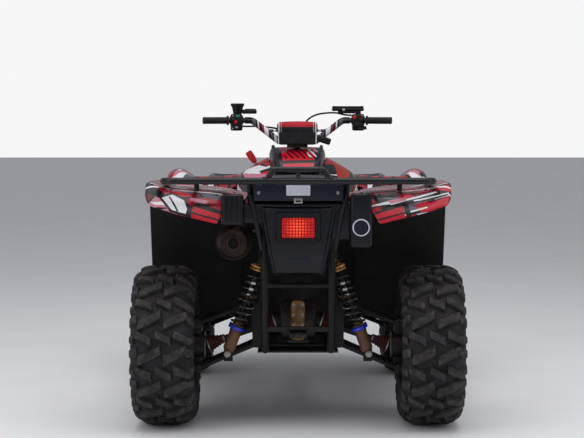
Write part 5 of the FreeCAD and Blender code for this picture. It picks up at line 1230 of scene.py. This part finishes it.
def surfaceTree(obj):
    mesh = evaluated(obj)
    return BVHTree.FromPolygons([v.co for v in mesh.vertices], [list(p.vertices) for p in mesh.polygons])


seatLook = {"voxel": 0.006, "cap": 0.009, "pressure": 4.0, "base": 0.8165, "inset": 0.004, "seamIn": 0.036,
            "seam": 0.0021, "crossSeams": (0.085, 0.205, 0.330), "backSeam": 0.475}
# millimetres: y, half width of base, of shoulder, shoulder height, crown height
seatSections = metres([
    (-70, 70, 82, 883, 915), (40, 105, 118, 868, 905), (120, 124, 136, 867, 905),
    (201, 140, 150, 868, 905), (270, 145, 156, 879, 916), (330, 148, 160, 893, 930),
    (421, 150, 162, 913, 952), (490, 147, 159, 912, 950), (560, 140, 150, 908, 945)])


def seatPieces():
    s = seatLook
    k = s["inset"]
    rows = []
    line = flow([(y, base, shoulder) for y, base, shoulder, _, _ in seatSections], 4)
    heights = flow([(y, low, high) for y, _, _, low, high in seatSections], 4)
    for (y, base, shoulder), (_, low, high) in zip(line, heights):
        t = (y - seatSections[0][0]) / (seatSections[-1][0] - seatSections[0][0])
        y = y + k * (1 - 2 * t)
        half = [(0.0, s["base"]), (base - k, s["base"]), (shoulder - k * 1.2, (s["base"] + low) / 2),
                (shoulder - k, low - 0.006), (shoulder - k - 0.006, low + 0.008),
                (shoulder - 0.024, high - 0.010), (shoulder * 0.55, high - 0.0055), (0.0, high - k)]
        rows.append([(x, y, z) for x, z in half] + [(-x, y, z) for x, z in half[-2:0:-1]])
    verts = [p for row in rows for p in row]
    n = len(rows[0])
    ends = [list(range(n))[::-1], [(len(rows) - 1) * n + i for i in range(n)]]
    faces = gridFaces(len(rows), n, wrap=True) + ends
    cover = stuffed("seatCushion", verts, faces, "seatVinyl", "root", ("seat",), s["voxel"],
                    s["cap"], s["pressure"], floor=s["base"] + 0.006)
    tree = surfaceTree(cover)
    seams = Builder()

    def onTop(x, y):
        hit = tree.ray_cast(Vector((x, y, 1.2)), Vector((0, 0, -1)))
        return hit[0]
    places = [(y, shoulder) for y, base, shoulder in flow([(y, b, sh) for y, b, sh, _, _ in seatSections], 6)]
    for side in (1, -1):
        path = [onTop(side * (shoulder - s["seamIn"]), y) for y, shoulder in places if -0.060 < y < 0.550]
        seams.tube([p for p in path if p], s["seam"], 8)
    for y in s["crossSeams"] + (s["backSeam"],):
        half = next(sh for yy, sh in places if yy >= y) - s["seamIn"]
        path = [onTop(half * (i / 12), y - 0.02 * (1 - (i / 12) ** 2)) for i in range(-12, 13)]
        seams.tube([p for p in path if p], s["seam"] * 0.8, 8)
    for side in (1, -1):                       # welt low on each flank, over the base
        path = []
        for y, shoulder in places:
            hit = tree.ray_cast(Vector((side * 0.4, y, 0.838)), Vector((-side, 0, 0)))
            if hit[0] and -0.064 < y < 0.553:
                path.append(hit[0])
        seams.tube(path, 0.0026, 8)
    piece("seatSeams", seams.mesh("seatSeams"), "seatPiping")


seatPieces()

padLook = {"half": 0.088, "low": 1.107, "high": 1.159, "front": -0.206, "back": -0.154, "flapLow": 1.064,
           "voxel": 0.004, "cap": 0.006, "pressure": 4.0, "piping": 0.0034, "redHalf": 0.074}


def padPieces():
    s = padLook
    made = Builder()
    made.box((-s["half"], s["front"], s["low"]), (s["half"], s["back"], s["high"]), 0.012, 3)
    cover = stuffed("barPadCushion", made.verts, made.faces, ["padCloth", "padRed"], "steering",
                    ("bar_pad",), s["voxel"], s["cap"], s["pressure"])
    middle = (s["low"] + s["high"]) / 2
    for face in cover.data.polygons:           # red panel over the upper half
        c = face.center
        high = c.z > middle + 0.004 + 0.03 * max(0.0, c.x)
        face.material_index = 1 if high and abs(c.x) < s["redHalf"] else 0
    tree = surfaceTree(cover)
    trim = Builder()

    def ringAt(x):                             # line round the cushion at x
        heart = Vector((x, (s["front"] + s["back"]) / 2, middle))
        hits = [tree.ray_cast(heart, Vector((0, math.cos(a), math.sin(a))))[0] for a in around(40)]
        return [hit for hit in hits if hit]
    for x in (-s["half"] + 0.0085, s["half"] - 0.0085):
        trim.tube(ringAt(x), s["piping"], 8, closed=True)
    for x in (-0.070, 0.070):                  # stitched borders beside the piping
        trim.tube(ringAt(x), 0.0009, 6, closed=True)
    for side in (1, -1):                       # the piping runs on down the flap's edges
        trim.tube([(side * 0.0825, -0.1545, 1.112), (side * 0.0822, -0.1550, 1.090),
                   (side * 0.0810, -0.1558, 1.066)], s["piping"] * 0.85, 8)
    piece("padPiping", trim.mesh("padPiping"), "pipingWhite", "steering")
    flap = Builder()
    verts = []
    columns, rowsCount = 17, 9
    for j in range(rowsCount):
        for i in range(columns):
            x = -0.086 + 0.172 * i / (columns - 1)
            t = j / (rowsCount - 1)
            z = s["low"] + 0.010 + (s["flapLow"] - s["low"] - 0.010) * t
            narrow = 1 - 0.05 * t * t
            wave = 0.0012 * math.sin(i * 0.8 + 1.0) * t
            verts.append(Vector((x * narrow, -0.1600 + wave + 0.002 * (1 - t), z)))
    flap.take(verts, gridFaces(rowsCount, columns))
    obj = piece("padFlap", flap.mesh("padFlap"), "padCloth", "steering", levels=1, wall=0.006)
    obj.modifiers["wall"].offset = 0


padPieces()
print("seat and pad built")


# Handlebar and its fittings

gripAxis = (Vector((0.405, -0.112, 1.166)) - Vector((0.196, -0.178, 1.166))).normalized()
gripLook = {"length": 0.112, "radius": 0.0149, "groove": 0.0138, "pitch": 0.0085, "flange": 0.0207}
controlAt = Vector((0.263, -0.157, 1.166))

barPatches = []                                # u is |x|, v is z
for colour, u0, u1, lean in (("white", 0.088, 0.098, 0.010), ("grey", 0.104, 0.110, 0.010),
                             ("white", 0.118, 0.136, 0.014), ("red", 0.141, 0.147, 0.012),
                             ("white", 0.158, 0.164, 0.012), ("grey", 0.172, 0.188, 0.012)):
    barPatches.append((colour, [(u0, 1.04), (u1, 1.04), (u1 + lean, 1.20), (u0 + lean, 1.20)]))
finishes["barGraphic"] = graphicFinish("barGraphic", "black", (1, 0, 0), (0, 0, 1), barPatches, rough=0.3)


def gripPieces():
    s = gripLook
    made = Builder()
    start = Vector((0.405, -0.112, 1.166)) - gripAxis * s["length"]
    profile = [(0, 0.0112), (0, s["flange"] - 0.001), (0.001, s["flange"]), (0.0040, s["flange"]),
               (0.0052, s["flange"] - 0.001), (0.0062, 0.0158), (0.010, s["radius"])]
    a = 0.013
    while a < s["length"] - 0.012:
        profile += [(a, s["radius"]), (a + 0.0008, s["groove"]), (a + 0.0026, s["groove"]),
                    (a + 0.0034, s["radius"])]
        a += s["pitch"]
    profile += [(s["length"] - 0.007, s["radius"] + 0.0006), (s["length"] - 0.001, s["radius"] + 0.0004),
                (s["length"], s["radius"] - 0.001), (s["length"] + 0.0004, 0.006),
                (s["length"] + 0.0004, 0.0001)]
    bothSides(made, *lathed(profile, start, gripAxis, 36))
    piece("handGrips", made.mesh("handGrips"), "gripRubber", "steering", ("grips",), smooth=32)


gripPieces()

controlLook = {"halfX": 0.025, "halfY": 0.0238, "down": 0.044, "up": 0.028, "lever": 0.0056}


def turned(verts, centre, axis, degrees):
    spin = Matrix.Rotation(math.radians(degrees), 3, Vector(axis).normalized())
    return [centre + spin @ (Vector(v) - centre) for v in verts]


def controlPieces():
    s = controlLook
    c = controlAt
    made = Builder()

    def both(shape, index=0):
        bothSides(made, shape[0], shape[1], index)
    low = Vector((c.x - s["halfX"], c.y - s["halfY"], c.z - s["down"]))
    high = Vector((c.x + s["halfX"], c.y + s["halfY"], c.z + s["up"]))
    both(softBox(low, high, 0.006, 3))
    both(hose([(low.x - 0.0002, c.y, low.z + 0.006), (low.x - 0.0002, c.y, high.z - 0.006)], 0.0008, 6))
    both(hose([(high.x + 0.0002, c.y, low.z + 0.006), (high.x + 0.0002, c.y, high.z - 0.006)], 0.0008, 6))
    both(lathed([(-0.027, 0.016), (-0.027, 0.019), (-0.020, 0.0215), (0.020, 0.0215), (0.027, 0.019),
                 (0.027, 0.016)], c, gripAxis, 30))
    leverStart = c + Vector((0, -0.044, -0.004))
    both(hose([c + Vector((0, -0.018, -0.004)), c + Vector((0, -0.032, -0.004)),
               leverStart + Vector((0, -0.004, 0))], 0.0105, 16, swell=lambda t: 1.0 - 0.25 * t))
    blade = [leverStart, leverStart + gripAxis * 0.030 + Vector((0, -0.010, 0)),
             leverStart + gripAxis * 0.070 + Vector((0, -0.013, 0)),
             leverStart + gripAxis * 0.115 + Vector((0, -0.014, 0)),
             leverStart + gripAxis * 0.147 + Vector((0, -0.018, 0))]

    def swell(t):                              # the lever tapers and ends in a ball
        return 1.25 - 0.55 * t if t < 0.9 else 0.78 + (t - 0.9) * 6
    both(hose(flow(blade, 5), s["lever"], 14, swell=swell), 1)
    both(lathed([(-0.0062, 0.0001), (-0.0055, 0.004), (0, 0.0072), (0.0055, 0.004), (0.0062, 0.0001)],
                blade[-1], gripAxis, 16), 1)
    both(bolt(leverStart + Vector((0, -0.004, 0.0095)), (0, 0, 1), 0.0046, 0.003), 5)
    for z in (c.z + 0.019, c.z - 0.036):
        both(bolt(Vector((c.x + 0.015, high.y - 0.0003, z)), (0, 1, 0), 0.0026, 0.0014), 5)
    # left: rocker, push button, slider and the tapered cup
    back = high.y
    made.box((0.2475, back - 0.002, 1.1795), (0.2655, back + 0.0035, 1.1895), 0.0022, part=2)
    made.lathe([(-0.002, 0.0072), (0.001, 0.0072), (0.001, 0.0055), (0.0045, 0.0052), (0.0052, 0.0040),
                (0.0052, 0.0001)], (0.2655, back, 1.1595), (0, 1, 0), 24, part=3)
    made.box((0.2525, back - 0.002, 1.1305), (0.2765, back + 0.0014, 1.1425), 0.0012)
    made.box((0.2560, back, 1.1330), (0.2680, back + 0.0042, 1.1400), 0.0016, part=4)
    cup = Vector((c.x - 0.004, c.y - 0.004, 1.1925))
    made.lathe([(-0.003, 0.0165), (0.0, 0.0180), (0.004, 0.0186), (0.030, 0.0240), (0.0345, 0.0262),
                (0.0350, 0.0282), (0.0450, 0.0288), (0.0470, 0.0274), (0.0472, 0.0210), (0.0460, 0.0200),
                (0.0460, 0.0001)], cup, (0, 0, 1), 40)
    made.box((0.176, c.y - 0.026, 1.1945), (0.240, c.y + 0.010, 1.2135), 0.005, 3)
    made.box((0.180, c.y - 0.022, 1.2125), (0.226, c.y + 0.006, 1.2165), 0.0018)
    for a in around(20):                       # knurl of the cup's cap
        spot = cup + Vector((math.cos(a) * 0.0287, math.sin(a) * 0.0287, 0.0370))
        made.tube([spot, spot + Vector((0, 0, 0.006))], 0.0006, 5)
    # right: flat reservoir with its lid and screws, and the stop button
    x0, x1, y = 0.150, 0.288, c.y - 0.012
    made.box((-x1, y - 0.019, 1.2062), (-x0, y + 0.019, 1.2215), 0.005, 3)
    made.box((-0.262, y - 0.015, 1.1960), (-0.176, y + 0.015, 1.2100), 0.004, 3)
    made.box((-x1 + 0.001, y - 0.0182, 1.2208), (-x0 - 0.001, y + 0.0182, 1.2278), 0.0028, 3)
    for x in (x0 + 0.010, x1 - 0.010):
        for dy in (-0.011, 0.011):
            made.bolt((-x, y + dy, 1.2276), (0, 0, 1), 0.0022, 0.0004, part=5)
    made.lathe([(-0.001, 0.0062), (0.0014, 0.0062), (0.0018, 0.0045), (0.0009, 0.0040), (0.0009, 0.0001)],
               (-0.200, y + 0.0190, 1.2132), (0, 1, 0), 20, part=4)
    made.box((-c.x - 0.012, c.y - 0.014, 1.190), (-c.x + 0.012, c.y + 0.004, 1.2085), 0.003)
    made.lathe([(-0.002, 0.0085), (0.001, 0.0085), (0.001, 0.0062), (0.0055, 0.0060), (0.0062, 0.0046),
                (0.0062, 0.0001)], (-0.2460, back, 1.1800), (0, 1, 0), 24, part=3)
    made.box((-0.2790, back - 0.001, 1.1350), (-0.2480, back + 0.0022, 1.1570), 0.002)
    # right thumb throttle: flat paddle under the grip
    paddle = softBox((-0.2990, -0.1560, 1.1330), (-0.2640, -0.1120, 1.1390), 0.0026)
    made.take(turned(paddle[0], Vector((-0.282, -0.140, 1.136)), (1, 0, 0), -14), paddle[1])
    looks = ["blackPlastic", "rackPaint", "buttonGreen", "buttonRed", "paleGrey", "boltSteel"]
    piece("handControls", made.mesh("handControls"), looks, "steering", ("controls",))


controlPieces()

cableRoutes = {                                # points, length, node that it stands for
    "clutchCable": ([(0.2377, -0.178, 1.140), (0.215, -0.178, 1.140), (0.168, -0.222, 1.140),
                     (0.060, -0.240, 1.128), (0.010, -0.212, 1.0758), (0.010, -0.2768, 0.9608)],
                    0.395, ("cables",)),
    "throttleCable": ([(-0.2377, -0.178, 1.188), (-0.207, -0.178, 1.188), (-0.165, -0.222, 1.202),
                       (-0.060, -0.240, 1.190), (-0.010, -0.232, 1.120), (-0.010, -0.212, 1.0758),
                       (-0.010, -0.2768, 0.9608)],
                      0.455, ()),
}
for name, (points, length, stands) in cableRoutes.items():
    curve = bpy.data.curves.new(name, "CURVE")
    curve.dimensions = "3D"
    curve.bevel_depth = 0.004
    curve.bevel_resolution = 3
    curve.resolution_u = 12
    curve.use_fill_caps = True
    line = curve.splines.new("NURBS")
    line.points.add(len(points) - 1)
    for point, place in zip(line.points, points):
        point.co = (*place, 1.0)
    line.order_u = 3
    line.use_endpoint_u = True
    cable = bpy.data.objects.new(name, curve)
    bpy.context.scene.collection.objects.link(cable)
    curve.materials.append(finishes["gripRubber"])
    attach(cable, "steering")
    if stands:
        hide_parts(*stands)


def barTrim():
    made = Builder()
    centre = Vector((-0.113, -0.176, 1.082))   # tilted pod beside the clamp
    pod = softBox(centre - Vector((0.033, 0.016, 0.0145)), centre + Vector((0.033, 0.016, 0.0145)), 0.006, 3)
    made.take(turned(pod[0], centre, (0, 1, 0), -18), pod[1])
    face = softBox(centre + Vector((-0.026, 0.0155, -0.0095)), centre + Vector((0.026, 0.0178, 0.0095)),
                   0.001)
    made.take(turned(face[0], centre, (0, 1, 0), -18), face[1], part=1)
    for side in (1, -1):                       # caps of the clamp and the cross bar's collars
        for y in (-0.203, -0.177):
            made.bolt((side * 0.031, y, 1.0938), (0, 0, 1), 0.0055, 0.005, part=2)
        made.lathe([(-0.006, 0.006), (-0.006, 0.0092), (0.006, 0.0092), (0.006, 0.006)],
                   (side * 0.128, -0.183, 1.122), (1, 0, 0), 20, closed=True, part=3)
    piece("barTrim", made.mesh("barTrim"), ["blackPlastic", "gloomPlastic", "boltSteel", "paleGrey"],
          "steering")


barTrim()

gearLook = {"foot": (0.166, -0.250, 0.952), "head": (0.208, -0.250, 1.016), "wide": 0.0155, "thick": 0.0085}


def gearPiece():
    s = gearLook
    foot, head = Vector(s["foot"]), Vector(s["head"])
    along = (head - foot).normalized()
    made = Builder()
    made.tube([foot, foot + along * 0.05], 0.0058, 14, part=1)
    made.lathe([(0.001, 0.0185), (0.006, 0.0165), (0.010, 0.0135), (0.013, 0.0145), (0.017, 0.0110),
                (0.020, 0.0118), (0.025, 0.0080), (0.028, 0.0062)], foot, along, 28, part=2)
    across = Vector((along.z, 0, -along.x))
    outline = rounded([(-s["wide"] * 0.72, 0.034), (s["wide"] * 0.72, 0.034), (s["wide"], 0.062),
                       (s["wide"] * 0.94, 0.092), (-s["wide"] * 0.94, 0.092), (-s["wide"], 0.062)], 0.007)
    face = [foot + across * u + along * v + Vector((0, -s["thick"], 0)) for u, v in outline]
    made.take(*slab(face, (0, 1, 0), s["thick"] * 2, 0.004, 3))
    piece("gearHandle", made.mesh("gearHandle"), ["leverRed", "boltSteel", "gripRubber"],
          stands=("gear_lever",))


gearPiece()
print("handlebar built")


# Racks, lamps, footrests, fasteners

rackLook = {"bead": 0.0026, "rearBack": (1.020, 0.960), "rearFront": (0.590, 0.938), "tube": 0.0125,
            "bars": (0.185, 0.275, 0.380), "bar": 0.0095}


def bead(centre, direction, radius, size):     # weld run round a tube's end
    x, y, _ = axisFrame(direction)
    path = [Vector(centre) + (x * math.cos(a) + y * math.sin(a)) * radius * (1 + 0.03 * math.sin(k * 2.4))
            for k, a in enumerate(around(22))]
    return hose(path, size, 6, closed=True)


def rackPieces():
    s = rackLook
    made = Builder()
    (by, bz), (fy, fz) = s["rearBack"], s["rearFront"]
    for x in s["bars"]:
        for side in (1, -1):
            made.take(*bead((side * x, fy + s["tube"], fz + 0.001), (0, 1, 0), s["bar"] + 0.0008, s["bead"]))
            made.take(*bead((side * x, by - s["tube"], bz - 0.001), (0, 1, 0), s["bar"] + 0.0008, s["bead"]))
    for side in (1, -1):
        made.take(*bead((side * 0.118, by - 0.0016, bz + 0.0125), (0, 0, 1), 0.0108, s["bead"]))
        for x, y in ((0.120, -0.972), (0.260, -0.972), (0.120, -0.560), (0.260, -0.560)):
            z = 0.895 if y < -0.7 else 0.875
            made.take(*bead((side * x, y + (0.0125 if y < -0.7 else -0.0125), z), (0, 1, 0), 0.0095,
                            s["bead"]))
    made.take(*bead((0, by, bz + 0.0125), (0, 0, 1), 0.0078, s["bead"]))
    piece("rackWelds", made.mesh("rackWelds"), "rackPaint")


rackPieces()

lampLook = {"inner": 0.2635, "outer": 0.4345, "low": 0.6915, "high": 0.7705, "face": -0.9585,
            "bowls": (0.308, 0.390), "bowl": 0.033}


def lampFinish():
    g = Graph("lampGlass")
    flutes = g.add("TexWave", wave_type="BANDS", bands_direction="X")
    g.feed(flutes.inputs["Vector"], g.place)
    g.feed(flutes.inputs["Scale"], 46.0)
    glass = g.mix(g.band(g.noise(26.0), 0.3, 0.7), srgb(150, 158, 164), srgb(196, 202, 206))
    return g.surface({"Base Color": glass, "Roughness": 0.08, "Metallic": 0.35, "Coat Weight": 0.8,
                      "Normal": g.bump(flutes.outputs["Fac"], 0.0008)})


finishes["lampGlass"] = lampFinish()


def lampPieces():
    s = lampLook
    made = Builder()
    for side in (1, -1):
        low, high = (side * s["inner"], s["low"]), (side * s["outer"], s["high"])
        made.tube([(x, s["face"] + 0.001, z) for x, z in plate(low, high, 0.012)], 0.0042, 8, closed=True)
        for x in s["bowls"]:
            for r, size in ((s["bowl"], 0.0018), (s["bowl"] * 0.55, 0.0014)):
                path = [(side * x + math.cos(a) * r, s["face"] + 0.0004,
                         (s["low"] + s["high"]) / 2 + math.sin(a) * r) for a in around(36)]
                made.tube(path, size, 6, closed=True, part=1)
    piece("lampRims", made.mesh("lampRims"), ["blackPlastic", "boltSteel"])


lampPieces()

footLook = {"floor": 0.392, "pegRadius": 0.0062, "pegHeight": 0.0042, "xs": (0.262, 0.540),
            "ys": (-0.190, 0.272), "columns": 8, "rows": 12}


def footPegs():                                # raised studs of the floor between its ribs
    s = footLook
    made = Builder()
    for j in range(s["rows"]):
        for i in range(s["columns"]):
            x = s["xs"][0] + (s["xs"][1] - s["xs"][0]) * (i + (0.5 if j % 2 else 0.0)) / (s["columns"] - 0.5)
            y = s["ys"][0] + (s["ys"][1] - s["ys"][0]) * j / (s["rows"] - 1)
            r, h = s["pegRadius"], s["pegHeight"]
            bothSides(made, *lathed([(-0.001, r), (h * 0.7, r * 0.8), (h, r * 0.62), (h, 0.0001)],
                                    (x, y, s["floor"]), (0, 0, 1), 9))
    piece("footPegs", made.mesh("footPegs"), "gloomPlastic")


footPegs()

fastenerLook = {"rivet": 0.0072, "head": 0.0022}
rivetPlaces = [                                # piece, then x and y of each plastic rivet or bolt
    ("rearFenderSkins", ((0.245, 0.340), (0.240, 0.560), (0.240, 0.740), (0.300, 0.915), (0.470, 0.915),
                         (0.420, 0.300))),
    ("frontBodySkin", ((0.230, -0.880), (0.230, -0.700), (0.420, -0.905), (0.420, -0.420), (0.350, -0.560),
                       (0.120, -0.900))),
]


def fasteners():
    s = fastenerLook
    made = Builder()
    deps = bpy.context.evaluated_depsgraph_get()
    for name, places in rivetPlaces:
        skin = bpy.data.objects[name].evaluated_get(deps)
        for x, y in places:
            for side in (1, -1):
                found, spot, normal, _ = skin.ray_cast(Vector((side * x, y, 1.4)), Vector((0, 0, -1)))
                if found:
                    r, h = s["rivet"], s["head"]
                    made.lathe([(-0.001, r), (h * 0.4, r * 0.96), (h, r * 0.55), (h, r * 0.4),
                                (h * 0.5, r * 0.3), (h * 0.5, 0.0001)], spot, normal, 18)
    piece("plasticRivets", made.mesh("plasticRivets"), "blackPlastic")
    steel = Builder()
    for side in (1, -1):
        for y in (0.650, 0.925):               # rear rack feet on the frame
            for x in (0.128, 0.178):
                steel.bolt((side * x, y, 0.8222), (0, 0, 1), 0.0055, 0.0042)
        for y, foot, head in shockLines:       # shock pins
            for place in (foot, head):
                steel.bolt((side * place[0], y + 0.031, place[1]), (0, 1, 0), 0.0085, 0.007, dish=False)
    piece("steelBolts", steel.mesh("steelBolts"), "boltSteel")


fasteners()
print("racks, lamps and fasteners built")


# Frame nodes that keep their CAD shape

nodeFinish = {"frame": "framePaint", "skid_plate": "skidAlloy", "engine": "engineAlloy",
              "exhaust": "shadedExhaustSteel", "footwells": "gloomPlastic", "rear_rack": "rackPaint",
              "front_rack": "rackPaint", "front_bumper": "rackPaint", "front_grille": "blackPlastic",
              "storage_box": "gloomPlastic", "suspension_arms": "framePaint", "rear_hub_carriers": "castCase",
              "drive_housings": "castCase", "tow_hitch": "framePaint", "steering_column": "framePaint",
              "knuckle_left": "castCase", "knuckle_right": "castCase", "tie_rod_left": "boltSteel",
              "tie_rod_right": "boltSteel", "handlebar": "barGraphic", "headlights": "lampGlass"}
for node, look in nodeFinish.items():
    slots = nodes[node].data.materials
    slots.clear()
    slots.append(finishes[look])
softEdges = {"storage_box": 0.0018, "front_grille": 0.0015, "rear_hub_carriers": 0.002,
             "knuckle_left": 0.002, "knuckle_right": 0.002, "skid_plate": 0.0015, "tow_hitch": 0.0015}
for node, width in softEdges.items():          # moulded and cast corners are never sharp
    edge = nodes[node].modifiers.new("edges", "BEVEL")
    edge.width = width
    edge.segments = 2
    edge.limit_method = "ANGLE"
    edge.angle_limit = math.radians(32)
print("frame nodes finished")


# Floor, light and camera

studio = {"floorDark": (0.86, 0.86, 0.87, 1), "floorPale": (0.90, 0.90, 0.91, 1), "floorReach": 30,
          "topLight": 112.0, "sideLight": 40.0, "world": 0.37, "backdrop": (0.93, 0.93, 0.94, 1)}
camera = {"place": (0.023, 6.9475, 1.245), "turn": (85.92, 0.0, 180.0), "lens": 101.0}


def buildStudio():
    r = studio["floorReach"]
    mesh = meshOf("floor", [(-r, -r, 0), (r, -r, 0), (r, r, 0), (-r, r, 0)], [[0, 1, 2, 3]])
    floor = bpy.data.objects.new("floor", mesh)
    bpy.context.scene.collection.objects.link(floor)
    g = Graph("floorPaint")
    paint = g.mix(g.band(g.noise(3.0), 0.3, 0.7), studio["floorDark"], studio["floorPale"])
    mesh.materials.append(g.surface({"Base Color": paint, "Roughness": 0.85}))
    world = bpy.data.worlds.new("studioWorld")
    bpy.context.scene.world = world
    world.use_nodes = True
    tree = world.node_tree
    back = tree.nodes["Background"]
    back.inputs["Color"].default_value = (0.92, 0.94, 1.0, 1)
    back.inputs["Strength"].default_value = studio["world"]
    white = tree.nodes.new("ShaderNodeBackground")
    white.inputs["Color"].default_value = studio["backdrop"]
    white.inputs["Strength"].default_value = 1.0
    path = tree.nodes.new("ShaderNodeLightPath")
    blendNode = tree.nodes.new("ShaderNodeMixShader")
    tree.links.new(path.outputs["Is Camera Ray"], blendNode.inputs[0])
    tree.links.new(back.outputs[0], blendNode.inputs[1])
    tree.links.new(white.outputs[0], blendNode.inputs[2])
    tree.links.new(blendNode.outputs[0], tree.nodes["World Output"].inputs["Surface"])
    for name, place, size, power in (("topSoft", (0.0, 1.2, 4.2), 4.5, studio["topLight"]),
                                     ("leftSoft", (3.6, 3.2, 2.6), 2.6, studio["sideLight"]),
                                     ("rightSoft", (-3.8, 2.2, 2.8), 2.6, studio["sideLight"] * 0.7)):
        data = bpy.data.lights.new(name, "AREA")
        data.energy = power
        data.size = size
        lamp = bpy.data.objects.new(name, data)
        lamp.location = place
        lamp.rotation_euler = (Vector((0, 0, 0.5)) - Vector(place)).to_track_quat("-Z", "Y").to_euler()
        bpy.context.scene.collection.objects.link(lamp)
    data = bpy.data.cameras.new("photoCamera")
    data.lens = camera["lens"]
    data.sensor_width = 36.0
    shot = bpy.data.objects.new("photoCamera", data)
    shot.location = camera["place"]
    shot.rotation_euler = [math.radians(a) for a in camera["turn"]]
    bpy.context.scene.collection.objects.link(shot)
    bpy.context.scene.camera = shot
    bpy.context.scene.view_settings.view_transform = "Standard"


buildStudio()
print("studio ready")
